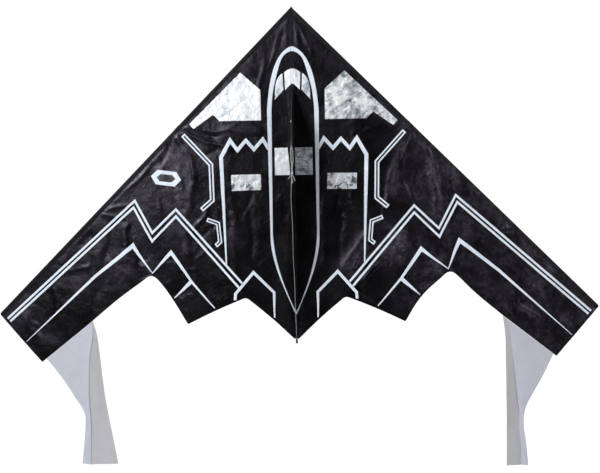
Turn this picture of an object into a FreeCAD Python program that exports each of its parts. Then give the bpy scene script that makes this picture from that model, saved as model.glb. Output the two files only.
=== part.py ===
import FreeCAD, Part
import math
import os

# Single-line delta kite, standing nose up as it hangs on a wall.  Millimetres.
# The origin is the nose.  +X runs along the right wing, +Z towards the nose, so the kite
# lies below the origin, and -Y is the front of the sail, where the keel is.
# Outlines in the sail plane are written as (out, down): out from the spine towards the
# wing tip, and down from the nose.

# ---------------------------------------------------------------- driving dimensions
SPAN = 2286.0              # wing tip to wing tip, the 90 inch size
TIP_OUT = SPAN / 2
TIP_DOWN = 1151.0          # how far the leading edge drops on its way out to the tip
SPINE_END_DOWN = 1264.0    # the middle point of the trailing edge
SEAM_OUT = 781.0           # the vertical seam between main panel and tip panel
ROOT_OUT = 5.0             # where each wing starts, beside the centre tape
NOTCH_OUT = 568.0          # the outer notch of the trailing edge
CENTRE_NOTCH_OUT = 190.0   # the notch beside the middle point

CLOTH = 0.8                # thickness of the sail cloth
TRIM = 0.3                 # thickness of what is sewn on to it
FRONT = -CLOTH / 2         # the sail's front face
BACK = CLOTH / 2           # the sail's back face
HEM_WIDTH = 10.0

ROD_RADIUS = 3.0           # every rod is a 6 mm rod
ROD_Y = BACK + 4.35        # centre of the rods in the sail's pockets
SLEEVE_WALL = 0.7
SLEEVE_GAP = 0.3           # between a rod and its pocket
SLEEVE_SEAM = 17.0         # leading edge to the seam of its sleeve
EDGE_ROD_INSET = 5.0       # leading edge to the centre of its rod
CAP_WALL = 1.0
CAP_FLOOR = 1.5
CAP_LENGTH = 18.0
TAIL_CAP_LENGTH = 14.0     # all of it stands out below the sail
CAP_TO_SLEEVE = 2.0
CAP_FIT = 0.02             # radial gap between a rod and its cap or socket

SPREADER_DOWN = 453.0      # the spreader's height on the kite
SPREADER_Y = 12.3          # it passes behind the spine sleeve
HOOK_FIT = 0.1             # radial gap between hook and leading edge rod
HOOK_LENGTH = 24.0         # along the leading edge rod
HOOK_WALL = 2.6
SOCKET_LENGTH = 34.0
SOCKET_RADIUS = 5.2
OPENING_LENGTH = 40.0      # of the sleeve, where the hook sits

KEEL_HINGE_Y = -0.6
KEEL_ROOT_Y = -2.2         # the keel's sewn edge
KEEL_TOP_DOWN = 308.0
KEEL_APEX = (-280.0, 542.0)        # (y, down) of the tow point's corner
KEEL_END_DOWN = 1254.0
BINDING_WIDTH = 8.0
BINDING_HALF = 0.8
EYELET_HOLE = 2.5          # radius
EYELET_WALL = 0.7
EYELET_FLANGE = 5.5        # radius
EYELET_HALF = 1.5          # half its height over both flanges
TOW_EYELET_INSET = 18.0    # from the keel's corner, along its middle line
UPPER_EYELET_DOWN = 442.0
UPPER_EYELET_INSET = 14.0  # from the keel's front edge
PATCH_RADIUS = 62.0

CORD_RADIUS = 1.0
TOW_KNOT_DOWN = 637.0
TOW_KNOT_RADIUS = 5.5
END_KNOT_DOWN = 670.0
END_KNOT_RADIUS = 3.6
TAIL_GAP = 1.5             # between the sail's edge and the tail's sewn edge

NOSE = (0.0, 0.0)
TIP = (TIP_OUT, TIP_DOWN)
TIP_TRAILING = (980.0, 1338.0)
NOTCH = (NOTCH_OUT, 1014.0)
INNER_POINT = (414.0, 1200.0)
CENTRE_NOTCH = (CENTRE_NOTCH_OUT, 1105.0)
MIDDLE_POINT = (ROOT_OUT, SPINE_END_DOWN)

# Corners of the pale and silver pieces on the sail, as (out, down).
SILVER_WING = [(198, 245), (122.5, 312.5), (121.5, 428), (279.5, 428), (304.5, 403), (380, 455.5),
               (396.5, 437.5)]
SILVER_INTAKE = [(126.5, 632.5), (239.5, 633.5), (237.5, 694.5), (125, 692.5)]
SILVER_SQUARE = [(ROOT_OUT + 0.5, 533.5), (72, 533.5), (72, 637.5), (ROOT_OUT + 0.5, 637.5)]
SIDE_PANE_CURVE = [(37.5, 250.5), (51, 263), (61.5, 284), (66.5, 315), (68, 351.5)]
SIDE_PANE_FOOT = (34.5, 314)
FRONT_PANE_CURVE = [(ROOT_OUT, 234), (15, 237.5), (30.5, 248.5)]
FRONT_PANE_FOOT = [(28, 314.5), (ROOT_OUT, 292)]

FUSELAGE_OUTER_NOSE = [(ROOT_OUT, 149), (43.5, 179), (72.5, 236), (90.5, 312.5), (99, 392)]
FUSELAGE_OUTER_TAIL = [(94, 854), (82, 960), (64.5, 1018), (ROOT_OUT, 1163)]
FUSELAGE_INNER_NOSE = [(ROOT_OUT, 169), (25.5, 179), (53, 236), (72.5, 312.5), (80.5, 392)]
FUSELAGE_INNER_TAIL = [(83.5, 854), (70.5, 960), (55.5, 1018), (ROOT_OUT, 1149)]

# Strips: each point is (out, down, width).
ENGINE_STRIP = [(94, 538, 13), (116.5, 500, 13), (150.5, 538, 13), (181, 503, 13), (213.5, 540, 13),
                (241, 502, 14), (276.5, 565, 15), (273.5, 655, 14), (263, 974, 5)]
UPPER_BRACKET = [(421.5, 478), (316, 593), (313, 728.5), (355, 764)]
LOWER_BRACKET = [(334.5, 802), (292.5, 817.5), (285.5, 888), (302.5, 902)]
BRACKET_WIDTH = 18.0
LOWER_BRACKET_WIDTH = 15.5
BRACKET_STROKE = 6.0       # the width of the line that draws a bracket
CHEVRON_WIDTH = 10.5
UPPER_CHEVRON = [(1112.5, 1170), (611, 725), (545.5, 849), (453.5, 761), (204, 1047)]
LOWER_CHEVRON = [(1103, 1181), (616.5, 751), (547, 881), (453.5, 787.5), (217, 1063)]
SINGLE_CHEVRON = [(1039, 1258, 2), (768, 1011, 11), (621.5, 896, 15), (563.5, 1003, 3),
                  (476.5, 925, 14), (399, 1037.5, 9), (309.5, 1142.5, 4)]
CHEVRON_BRANCH = [(403, 1040, 15), (476.5, 1106.5, 3)]
TAIL_STRIP = [(232, 1112, 10), (230.5, 1087, 11), (160.5, 1006, 11), (83, 1084, 10), (84.5, 1182, 5)]

EMBLEM_CENTRE = (489.0, 641.0)
EMBLEM_LENGTH = 118.0
EMBLEM_HEIGHT = 56.0
EMBLEM_TILT = 8.5          # degrees, the outer end higher

# The hanging corners of the tails, as (out, down).
TAIL_TOP_INNER = (781.0, 1181.5)
TAIL_TOP_OUTER = (962.0, 1323.9)
TAIL_FALL = {
    "left": {"waist": (819, 1541), "outer": (833, 1728), "inner": (698, 1730), "side": (727, 1545)},
    "right": {"waist": (856, 1548), "outer": (872, 1752), "inner": (787, 1752), "side": (790, 1548)},
}

os.makedirs("parts", exist_ok=True)


# ---------------------------------------------------------------- small helpers
def spot(out, down, y=0.0):
    return FreeCAD.Vector(out, y, -down)


def save(name, shape):
    shape.exportStep(f"parts/{name}.step")
    print(f"{name:28s} {shape.Volume / 1000:9.2f} cm3  {'ok' if shape.isValid() else 'NOT VALID'}")


def save_pair(name, shape):
    """Writes a right-hand piece and its mirror image for the left wing."""
    save(f"right_{name}", shape)
    save(f"left_{name}", mirrored(shape))


def mirrored(shape):
    return shape.mirror(FreeCAD.Vector(0, 0, 0), FreeCAD.Vector(1, 0, 0))


def face_of(outline, y=0.0):
    """A flat face from runs of points: two points make a line, more make a smooth curve."""
    edges = []
    for run in outline:
        points = [spot(p[0], p[1], y) for p in run]
        if len(points) == 2:
            edges.append(Part.makeLine(points[0], points[1]))
        else:
            curve = Part.BSplineCurve()
            curve.interpolate(points)
            edges.append(curve.toShape())
    return Part.Face(Part.Wire(Part.__sortEdges__(edges)))


def polygon(points, y=0.0):
    corners = [spot(p[0], p[1], y) for p in points]
    return Part.Face(Part.makePolygon(corners + corners[:1]))


def sheet(face, thickness):
    """Thickens a flat face of the sail plane towards +Y."""
    return face.extrude(FreeCAD.Vector(0, thickness, 0))


def trim_piece(face):
    """A piece sewn on to the front of the sail, from a face drawn at y = 0."""
    return sheet(face.translated(FreeCAD.Vector(0, FRONT - TRIM, 0)), TRIM)


def backing_piece(face):
    """A piece sewn on to the back of the sail, from a face drawn at y = 0."""
    return sheet(face.translated(FreeCAD.Vector(0, BACK, 0)), TRIM)


def unit(a, b):
    length = math.hypot(b[0] - a[0], b[1] - a[1])
    return ((b[0] - a[0]) / length, (b[1] - a[1]) / length)


def shifted_corner(before, corner, after, shift_before, shift_after):
    """Where two runs meet once each is moved sideways, to its left as it is walked."""
    if before is None or after is None:
        along = unit(corner, after) if before is None else unit(before, corner)
        shift = shift_after if before is None else shift_before
        return (corner[0] + shift * along[1], corner[1] - shift * along[0])
    first = unit(before, corner)
    second = unit(corner, after)
    turn = first[0] * second[1] - first[1] * second[0]
    reach = (shift_before * (first[0] * second[0] + first[1] * second[1]) - shift_after) / turn
    return (corner[0] + shift_before * first[1] - reach * first[0],
            corner[1] - shift_before * first[0] - reach * first[1])


def side_line(points, shift):
    """The line of points moved sideways by shift, or by half of each point's own width."""
    moved = []
    for i, point in enumerate(points):
        before = points[i - 1] if i > 0 else None
        after = points[i + 1] if i + 1 < len(points) else None
        amount = shift * point[2] / 2 if len(point) == 3 else shift
        moved.append(shifted_corner(before, point, after, amount, amount))
    return moved


def strip(points):
    """A strip of cloth along (out, down, width) points, with mitred corners."""
    return polygon(side_line(points, 1) + side_line(points, -1)[::-1])


def even_strip(points, width):
    return strip([(p[0], p[1], width) for p in points])


def ring(line, width, stroke):
    """The outline of a strip: the strip less the same strip drawn narrower and shorter."""
    start = unit(line[0], line[1])
    finish = unit(line[-1], line[-2])
    core = [(line[0][0] + stroke * start[0], line[0][1] + stroke * start[1])]
    core += line[1:-1]
    core += [(line[-1][0] + stroke * finish[0], line[-1][1] + stroke * finish[1])]
    return even_strip(line, width).cut(even_strip(core, width - 2 * stroke))


def only_face(shape):
    return max(shape.Faces, key=lambda face: face.Area)


# The right leading edge: its direction out to the tip, and the way in towards the sail.
EDGE_LENGTH = math.hypot(TIP_OUT, TIP_DOWN)
EDGE = FreeCAD.Vector(TIP_OUT, 0, -TIP_DOWN) / EDGE_LENGTH
INWARD = FreeCAD.Vector(-TIP_DOWN, 0, -TIP_OUT) / EDGE_LENGTH


def edge_spot(along, inset, y):
    """A point at a distance along the right leading edge, and inset from it."""
    return EDGE * along + INWARD * inset + FreeCAD.Vector(0, y, 0)


def edge_down(out):
    """How far down the leading edge is at a distance out."""
    return out * TIP_DOWN / TIP_OUT


HOOK_ALONG = (SPREADER_DOWN - EDGE_ROD_INSET * TIP_OUT / EDGE_LENGTH) * EDGE_LENGTH / TIP_DOWN
HOOK_OUT = edge_spot(HOOK_ALONG, EDGE_ROD_INSET, 0).x


# ---------------------------------------------------------------- spine
def cap(radius, length, base, direction):
    """A vinyl end cap over a rod's end: closed at base, open along direction."""
    outside = Part.makeCylinder(radius + CAP_WALL, length, base, direction)
    hollow = Part.makeCylinder(radius + CAP_FIT, length, base + direction * CAP_FLOOR, direction)
    return outside.cut(hollow)


def make_spine():
    down = FreeCAD.Vector(0, 0, -1)
    up = FreeCAD.Vector(0, 0, 1)
    nub_end = SPINE_END_DOWN + TAIL_CAP_LENGTH + 1.0
    rod_start = CAP_FLOOR + 0.1
    rod_length = nub_end - 2 * rod_start
    save("spine_spar", Part.makeCylinder(ROD_RADIUS, rod_length, spot(0, rod_start, ROD_Y), down))
    save("nose_cap", cap(ROD_RADIUS, CAP_LENGTH, spot(0, 0, ROD_Y), down))
    save("tail_cap", cap(ROD_RADIUS, TAIL_CAP_LENGTH, spot(0, nub_end, ROD_Y), up))

    half = ROOT_OUT - 0.3
    tape = polygon([(-half, 5), (half, 5), (half, SPINE_END_DOWN - 3), (-half, SPINE_END_DOWN - 3)], FRONT)
    save("centre_tape", sheet(tape, CLOTH))

    top = CAP_LENGTH + CAP_TO_SLEEVE
    length = nub_end - TAIL_CAP_LENGTH - CAP_TO_SLEEVE - top
    outer = arch(ROD_RADIUS + SLEEVE_GAP + SLEEVE_WALL, top, length)
    inner = arch(ROD_RADIUS + SLEEVE_GAP, top, length)
    save("spine_sleeve", outer.cut(inner))


def arch(radius, top, length):
    """A rod's pocket as a solid: straight sides from the sail's back, with a round top."""
    left = FreeCAD.Vector(-radius, BACK, -top)
    right = FreeCAD.Vector(radius, BACK, -top)
    rise = FreeCAD.Vector(0, ROD_Y - BACK, 0)
    crown = FreeCAD.Vector(0, ROD_Y + radius, -top)
    edges = [
        Part.makeLine(right, left),
        Part.makeLine(left, left + rise),
        Part.Arc(left + rise, crown, right + rise).toShape(),
        Part.makeLine(right + rise, right),
    ]
    return Part.Face(Part.Wire(edges)).extrude(FreeCAD.Vector(0, 0, -length))


# ---------------------------------------------------------------- wings
TRAILING_EDGE = [MIDDLE_POINT, CENTRE_NOTCH, INNER_POINT, NOTCH, TIP_TRAILING]


def seam_down():
    """Where the tip seam meets the trailing edge."""
    slope = (TIP_TRAILING[1] - NOTCH[1]) / (TIP_TRAILING[0] - NOTCH[0])
    return NOTCH[1] + slope * (SEAM_OUT - NOTCH[0])


def make_sail():
    """The main panel is cut into convex gores at the notches, and the tip panel is one more."""
    gores = [
        [(ROOT_OUT, edge_down(ROOT_OUT)), (CENTRE_NOTCH_OUT, edge_down(CENTRE_NOTCH_OUT)), CENTRE_NOTCH,
         MIDDLE_POINT],
        [(CENTRE_NOTCH_OUT, edge_down(CENTRE_NOTCH_OUT)), (NOTCH_OUT, edge_down(NOTCH_OUT)), NOTCH,
         INNER_POINT, CENTRE_NOTCH],
        [(NOTCH_OUT, edge_down(NOTCH_OUT)), (SEAM_OUT, edge_down(SEAM_OUT)), (SEAM_OUT, seam_down()), NOTCH],
    ]
    save_pair("main_panel", Part.makeCompound([sheet(polygon(gore, FRONT), CLOTH) for gore in gores]))
    tip = [(SEAM_OUT, edge_down(SEAM_OUT)), TIP, TIP_TRAILING, (SEAM_OUT, seam_down())]
    save_pair("tip_panel", sheet(polygon(tip, FRONT), CLOTH))


def make_hems_and_patches():
    outer = side_line(TRAILING_EDGE, 0.3)
    inner = side_line(TRAILING_EDGE, HEM_WIDTH)
    beside_root = polygon([(-50, 0), (ROOT_OUT, 0), (ROOT_OUT, 2000), (-50, 2000)])
    hem = polygon(outer + inner[::-1]).cut(beside_root)
    save_pair("trailing_hem", backing_piece(only_face(hem)))

    reach = 130.0
    inset = SLEEVE_SEAM + 1.0
    start = edge_spot(inset + 16, inset, 0)
    end = edge_spot(reach, inset, 0)
    nose = [(start.x, -start.z), (end.x, -end.z), (ROOT_OUT, -end.z + 45), (ROOT_OUT, -start.z)]
    save_pair("nose_patch", backing_piece(polygon(nose)))

    half = OPENING_LENGTH / 2 - 1
    corners = [(-half, 1), (half, 1), (half, 38), (-half, 38)]
    spots = [edge_spot(HOOK_ALONG + along, inset, 0) for along, inset in corners]
    save_pair("spreader_patch", backing_piece(polygon([(p.x, -p.z) for p in spots])))


def pocket_profile(radius, seam, along):
    """Section of the leading edge pocket: round over the rod, then straight down to the seam."""
    drop = ROD_Y - BACK
    run = seam - EDGE_ROD_INSET
    tangent = math.acos(radius / math.hypot(run, drop)) - math.atan2(drop, run)
    touch = (EDGE_ROD_INSET + radius * math.cos(tangent), ROD_Y + radius * math.sin(tangent))
    foot = edge_spot(along, EDGE_ROD_INSET - radius, BACK)
    shoulder = edge_spot(along, EDGE_ROD_INSET - radius, ROD_Y)
    crown = edge_spot(along, EDGE_ROD_INSET, ROD_Y + radius)
    landing = edge_spot(along, touch[0], touch[1])
    hem = edge_spot(along, seam, BACK)
    edges = [
        Part.makeLine(foot, shoulder),
        Part.Arc(shoulder, crown, landing).toShape(),
        Part.makeLine(landing, hem),
        Part.makeLine(hem, foot),
    ]
    return Part.Face(Part.Wire(edges))


def pocket(start, end):
    radius = ROD_RADIUS + SLEEVE_GAP
    travel = EDGE * (end - start)
    outer = pocket_profile(radius + SLEEVE_WALL, SLEEVE_SEAM, start).extrude(travel)
    inner = pocket_profile(radius, SLEEVE_SEAM - 2, start).extrude(travel)
    return outer.cut(inner)


def make_leading_edge():
    nose_start = 26.0
    tip_end = EDGE_LENGTH - 10
    rod_start = nose_start + CAP_FLOOR + 0.1
    rod_length = tip_end - CAP_FLOOR - 0.1 - rod_start
    rod = Part.makeCylinder(ROD_RADIUS, rod_length, edge_spot(rod_start, EDGE_ROD_INSET, ROD_Y), EDGE)
    save_pair("leading_edge_spar", rod)
    nose_cap = cap(ROD_RADIUS, CAP_LENGTH, edge_spot(nose_start, EDGE_ROD_INSET, ROD_Y), EDGE)
    tip_cap = cap(ROD_RADIUS, CAP_LENGTH, edge_spot(tip_end, EDGE_ROD_INSET, ROD_Y), EDGE * -1)
    save_pair("edge_spar_caps", Part.makeCompound([nose_cap, tip_cap]))

    half = OPENING_LENGTH / 2
    upper = pocket(nose_start + CAP_LENGTH + CAP_TO_SLEEVE, HOOK_ALONG - half)
    lower = pocket(HOOK_ALONG + half, tip_end - CAP_LENGTH - CAP_TO_SLEEVE)
    save_pair("leading_edge_sleeve", Part.makeCompound([upper, lower]))


# ---------------------------------------------------------------- what is sewn on the front
def make_silver():
    save_pair("silver_wing_panel", trim_piece(polygon(SILVER_WING)))
    save_pair("silver_intake", trim_piece(polygon(SILVER_INTAKE)))
    save_pair("silver_square", trim_piece(polygon(SILVER_SQUARE)))
    side_pane = [SIDE_PANE_CURVE, [SIDE_PANE_CURVE[-1], SIDE_PANE_FOOT], [SIDE_PANE_FOOT, SIDE_PANE_CURVE[0]]]
    save_pair("cockpit_side_pane", trim_piece(face_of(side_pane)))
    front_pane = [FRONT_PANE_CURVE, [FRONT_PANE_CURVE[-1], FRONT_PANE_FOOT[0]], FRONT_PANE_FOOT,
                  [FRONT_PANE_FOOT[1], FRONT_PANE_CURVE[0]]]
    save_pair("cockpit_front_pane", trim_piece(face_of(front_pane)))


def make_strips():
    fuselage = face_of([
        FUSELAGE_OUTER_NOSE,
        [FUSELAGE_OUTER_NOSE[-1], FUSELAGE_OUTER_TAIL[0]],
        FUSELAGE_OUTER_TAIL,
        [FUSELAGE_OUTER_TAIL[-1], FUSELAGE_INNER_TAIL[-1]],
        FUSELAGE_INNER_TAIL,
        [FUSELAGE_INNER_TAIL[0], FUSELAGE_INNER_NOSE[-1]],
        FUSELAGE_INNER_NOSE,
        [FUSELAGE_INNER_NOSE[0], FUSELAGE_OUTER_NOSE[0]],
    ])
    tail = strip(TAIL_STRIP)
    upper = even_strip(UPPER_CHEVRON, CHEVRON_WIDTH).cut(tail)
    lower = even_strip(LOWER_CHEVRON, CHEVRON_WIDTH).cut(tail)
    engine = strip(ENGINE_STRIP).cut(fuselage).cut(upper)
    single = strip(SINGLE_CHEVRON)
    branch = strip(CHEVRON_BRANCH).cut(single)
    save_pair("fuselage_strip", trim_piece(fuselage))
    save_pair("engine_strip", trim_piece(only_face(engine)))
    save_pair("tail_strip", trim_piece(tail))
    double = [trim_piece(only_face(line)) for line in (upper, lower)]
    save_pair("double_chevron", Part.makeCompound(double))
    save_pair("single_chevron", trim_piece(single).fuse(trim_piece(only_face(branch))).removeSplitter())
    save_pair("upper_bracket", trim_piece(ring(UPPER_BRACKET, BRACKET_WIDTH, BRACKET_STROKE)))
    save_pair("lower_bracket", trim_piece(ring(LOWER_BRACKET, LOWER_BRACKET_WIDTH, BRACKET_STROKE - 1)))


def make_emblem():
    """A plain six-sided patch on the left wing."""
    half = EMBLEM_LENGTH / 2
    rise = EMBLEM_HEIGHT / 2
    point = rise * 0.8
    corners = [(-half, 0), (point - half, -rise), (half - point, -rise), (half, 0), (half - point, rise),
               (point - half, rise)]
    patch = trim_piece(polygon(corners))
    patch.rotate(FreeCAD.Vector(0, 0, 0), FreeCAD.Vector(0, 1, 0), EMBLEM_TILT)
    patch.translate(spot(-EMBLEM_CENTRE[0], EMBLEM_CENTRE[1]))
    save("left_emblem_patch", patch)


# ---------------------------------------------------------------- spreader
def make_spreader():
    across = FreeCAD.Vector(1, 0, 0)
    half = HOOK_OUT - 5.0
    rod = Part.makeCylinder(ROD_RADIUS, 2 * half, spot(-half, SPREADER_DOWN, SPREADER_Y), across)
    save("spreader_rod", rod)
    save_pair("spreader_hook", make_hook(half))


def make_hook(rod_end):
    """A moulded hook: a saddle open to the front that grips the edge rod, and a socket for the spreader."""
    across = FreeCAD.Vector(1, 0, 0)
    channel = ROD_RADIUS + HOOK_FIT
    arms = channel + HOOK_WALL
    front = BACK + TRIM + 0.3
    start = edge_spot(HOOK_ALONG - HOOK_LENGTH / 2, EDGE_ROD_INSET - arms, front)
    saddle = box_along(start, EDGE * HOOK_LENGTH, INWARD * (2 * arms), SPREADER_Y - front)
    socket_start = spot(rod_end - SOCKET_LENGTH, SPREADER_DOWN, SPREADER_Y)
    socket = Part.makeCylinder(SOCKET_RADIUS, SOCKET_LENGTH + 3.0, socket_start, across)
    bore = Part.makeCylinder(ROD_RADIUS + CAP_FIT, SOCKET_LENGTH + 0.1, socket_start, across)
    grip = Part.makeCylinder(channel, 2 * HOOK_LENGTH, edge_spot(HOOK_ALONG - HOOK_LENGTH, EDGE_ROD_INSET, ROD_Y),
                             EDGE)
    slot_start = edge_spot(HOOK_ALONG - HOOK_LENGTH, EDGE_ROD_INSET - channel, -5)
    slot = box_along(slot_start, EDGE * (2 * HOOK_LENGTH), INWARD * (2 * channel), ROD_Y + 5)
    return saddle.fuse(socket).cut(bore).cut(grip).cut(slot).removeSplitter()


def box_along(start, length, width, depth):
    """A box from a corner, along two vectors of the sail plane and towards +Y."""
    corners = [start, start + length, start + length + width, start + width]
    return Part.Face(Part.makePolygon(corners + corners[:1])).extrude(FreeCAD.Vector(0, depth, 0))


# ---------------------------------------------------------------- keel
def keel_face(points, x):
    """A face in the keel's plane, from (y, down) points, at x."""
    corners = [FreeCAD.Vector(x, y, -down) for y, down in points]
    return Part.Face(Part.makePolygon(corners + corners[:1]))


def keel_plate(points, low, high):
    return keel_face(points, low).extrude(FreeCAD.Vector(high - low, 0, 0))


def make_keel():
    top = (KEEL_ROOT_Y, KEEL_TOP_DOWN)
    end = (KEEL_ROOT_Y, KEEL_END_DOWN)
    free_edge = [top, KEEL_APEX, end]
    inner_edge = side_line(free_edge, BINDING_WIDTH)
    cloth_edge = side_line(free_edge, 1.0)
    half = CLOTH / 2
    cloth = keel_plate([top] + cloth_edge[1:2] + [end], -half, half)
    binding = keel_plate(free_edge + inner_edge[::-1], -BINDING_HALF, BINDING_HALF)
    behind_root = keel_plate([(KEEL_ROOT_Y, 0), (50, 0), (50, 1500), (KEEL_ROOT_Y, 1500)], -2, 2)
    binding = binding.cut(cloth).cut(behind_root)

    to_top = unit(KEEL_APEX, top)
    to_end = unit(KEEL_APEX, end)
    middle = unit((0, 0), (to_top[0] + to_end[0], to_top[1] + to_end[1]))
    tow = (KEEL_APEX[0] + TOW_EYELET_INSET * middle[0], KEEL_APEX[1] + TOW_EYELET_INSET * middle[1])
    fan = [KEEL_APEX]
    fan += [(KEEL_APEX[0] + PATCH_RADIUS * way[0], KEEL_APEX[1] + PATCH_RADIUS * way[1])
            for way in (to_top, middle, to_end)]
    patch = keel_plate(fan, -half - TRIM, half + TRIM)
    patch = patch.cut(keel_plate([top] + cloth_edge[1:2] + [end], -half, half))
    patch = patch.cut(keel_plate(free_edge + inner_edge[::-1], -BINDING_HALF, BINDING_HALF))

    upper = upper_eyelet_spot(top, to_top)
    holes = [eyelet_hole(tow), eyelet_hole(upper)]
    for hole in holes:
        cloth = cloth.cut(hole)
        patch = patch.cut(hole)
    save("keel_panel", cloth)
    save("keel_binding", binding)
    save("keel_patch", patch)
    save("tow_eyelet", eyelet(tow, half + TRIM))
    save("upper_eyelet", eyelet(upper, half))
    return tow


def upper_eyelet_spot(top, to_top):
    inward = (-to_top[1], to_top[0])
    edge_down_here = UPPER_EYELET_DOWN - UPPER_EYELET_INSET * inward[1]
    share = (KEEL_APEX[1] - edge_down_here) / (KEEL_APEX[1] - top[1])
    edge_y = KEEL_APEX[0] + share * (top[0] - KEEL_APEX[0])
    return (edge_y + UPPER_EYELET_INSET * inward[0], UPPER_EYELET_DOWN)


def barrel(place, radius, half):
    across = FreeCAD.Vector(1, 0, 0)
    return Part.makeCylinder(radius, 2 * half, FreeCAD.Vector(-half, place[0], -place[1]), across)


def eyelet_hole(place):
    return barrel(place, EYELET_HOLE + EYELET_WALL, 5)


def eyelet(place, cloth_half):
    """A pressed eyelet: a barrel through the cloth with a flange on each side."""
    flanges = barrel(place, EYELET_FLANGE, EYELET_HALF).cut(barrel(place, EYELET_FLANGE + 1, cloth_half))
    tube = barrel(place, EYELET_HOLE + EYELET_WALL, EYELET_HALF)
    return flanges.fuse(tube).cut(barrel(place, EYELET_HOLE, 5)).removeSplitter()


# ---------------------------------------------------------------- tow loop
def cord_path(points):
    """Straight runs joined by tangent arcs, each as large as its two runs allow."""
    edges = []
    last = points[0]
    for before, corner, after in zip(points, points[1:], points[2:]):
        back = before - corner
        ahead = after - corner
        shorter = min(back.Length, ahead.Length)
        turn = math.pi - back.getAngle(ahead)
        trim = 0.45 * shorter
        print(f"    cord arc radius {trim / math.tan(turn / 2):6.2f} mm")
        start = corner + back / back.Length * trim
        finish = corner + ahead / ahead.Length * trim
        bisector = back / back.Length + ahead / ahead.Length
        radius = trim / math.tan(turn / 2)
        centre_distance = math.hypot(radius, trim)
        middle = corner + bisector / bisector.Length * (centre_distance - radius)
        edges.append(Part.LineSegment(last, start).toShape())
        edges.append(Part.Arc(start, middle, finish).toShape())
        last = finish
    edges.append(Part.LineSegment(last, points[-1]).toShape())
    return Part.Wire(edges)


def cord_tube(points):
    path = cord_path(points)
    section = Part.Wire(Part.makeCircle(CORD_RADIUS, points[0], points[1] - points[0]))
    tube = path.makePipeShell([section], True, False)
    wanted = math.pi * CORD_RADIUS ** 2 * path.Length
    print(f"    cord length {path.Length:6.1f} mm, volume is {tube.Volume / wanted:5.3f} of section times length")
    return tube


def make_tow_loop(tow):
    """A loop of line through the tow eyelet, knotted below it, with three short ends below the knot."""
    y = tow[0]

    def cord(route):
        return cord_tube([FreeCAD.Vector(x, y, -down) for x, down in route])

    save("tow_loop", cord([(-1.4, 631), (-3.4, 609), (-4.4, 584), (-4.5, 562), (-3.6, tow[1] + 1.2),
                           (3.6, tow[1] + 1.0), (4.6, 561), (4.3, 585), (3.2, 610), (1.4, 631)]))
    ends = [
        [(0, 643.5), (-1.2, 652), (0.4, 659), (0.1, 666.3)],
        [(-1.8, 643), (-5.5, 648.5), (-9.5, 652), (-13, 657)],
        [(1.8, 643), (5.5, 650), (8.6, 657.5), (9.6, 666)],
    ]
    save("tow_tail", Part.makeCompound([cord(end) for end in ends]))
    save("tow_knot", Part.makeSphere(TOW_KNOT_RADIUS, FreeCAD.Vector(0, y, -TOW_KNOT_DOWN)))
    save("tow_end_knot", Part.makeSphere(END_KNOT_RADIUS, FreeCAD.Vector(0, y, -END_KNOT_DOWN)))


# ---------------------------------------------------------------- tails
def make_tail(side):
    """A strip of cloth sewn along the slanted edge, whose outer corner hangs in a fold."""
    fall = TAIL_FALL[side]
    sign = 1 if side == "right" else -1
    edge = unit(TAIL_TOP_INNER, TAIL_TOP_OUTER)
    below = (-edge[1] * TAIL_GAP, edge[0] * TAIL_GAP)
    inner_top = (TAIL_TOP_INNER[0] + below[0], TAIL_TOP_INNER[1] + below[1])
    outer_top = (TAIL_TOP_OUTER[0] + below[0], TAIL_TOP_OUTER[1] + below[1])
    parts = [
        [inner_top, outer_top, fall["waist"], fall["side"]],
        [fall["side"], fall["waist"], fall["outer"], fall["inner"]],
    ]
    solids = [sheet(polygon([(sign * p[0], p[1]) for p in part], FRONT), CLOTH) for part in parts]
    save(f"{side}_tail", Part.makeCompound(solids))


make_spine()
make_sail()
make_hems_and_patches()
make_leading_edge()
make_silver()
make_strips()
make_emblem()
make_spreader()
tow_place = make_keel()
make_tow_loop(tow_place)
make_tail("left")
make_tail("right")
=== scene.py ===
import math

import bpy
import bmesh
import numpy as np
from mathutils import Matrix, Vector
from mathutils.geometry import delaunay_2d_cdt


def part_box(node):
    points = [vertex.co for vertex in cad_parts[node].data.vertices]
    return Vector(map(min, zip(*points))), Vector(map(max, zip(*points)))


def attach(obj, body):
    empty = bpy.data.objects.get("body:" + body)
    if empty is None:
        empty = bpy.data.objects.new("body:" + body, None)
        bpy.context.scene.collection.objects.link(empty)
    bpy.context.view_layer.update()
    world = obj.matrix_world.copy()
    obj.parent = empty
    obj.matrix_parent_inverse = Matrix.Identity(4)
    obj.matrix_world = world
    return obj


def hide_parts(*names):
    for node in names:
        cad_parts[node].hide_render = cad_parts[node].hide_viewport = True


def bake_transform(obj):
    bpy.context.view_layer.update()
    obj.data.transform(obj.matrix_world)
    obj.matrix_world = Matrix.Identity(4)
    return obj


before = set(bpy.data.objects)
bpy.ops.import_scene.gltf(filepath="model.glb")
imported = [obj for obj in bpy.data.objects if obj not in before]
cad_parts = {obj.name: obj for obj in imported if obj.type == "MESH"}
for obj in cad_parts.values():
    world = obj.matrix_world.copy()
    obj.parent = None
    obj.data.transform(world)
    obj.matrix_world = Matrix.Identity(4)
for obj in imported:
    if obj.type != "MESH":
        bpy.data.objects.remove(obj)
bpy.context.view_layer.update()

# A delta kite hanging nose up.  Metres.  +X is the right wing, +Z the nose, -Y the front of the sail, where the
# keel is.  Every piece follows the outline of its CAD node and lies on one softly creased sail surface.

MM = 0.001


def put(name, data):
    """A new object in the scene."""
    piece = bpy.data.objects.new(name, data)
    bpy.context.scene.collection.objects.link(piece)
    return piece


def assign(piece, body, node=None):
    """Parents a piece to the empty of the body it rides, and hides the CAD node it replaces."""
    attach(piece, body)
    if node:
        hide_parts(node)
    return piece


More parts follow.
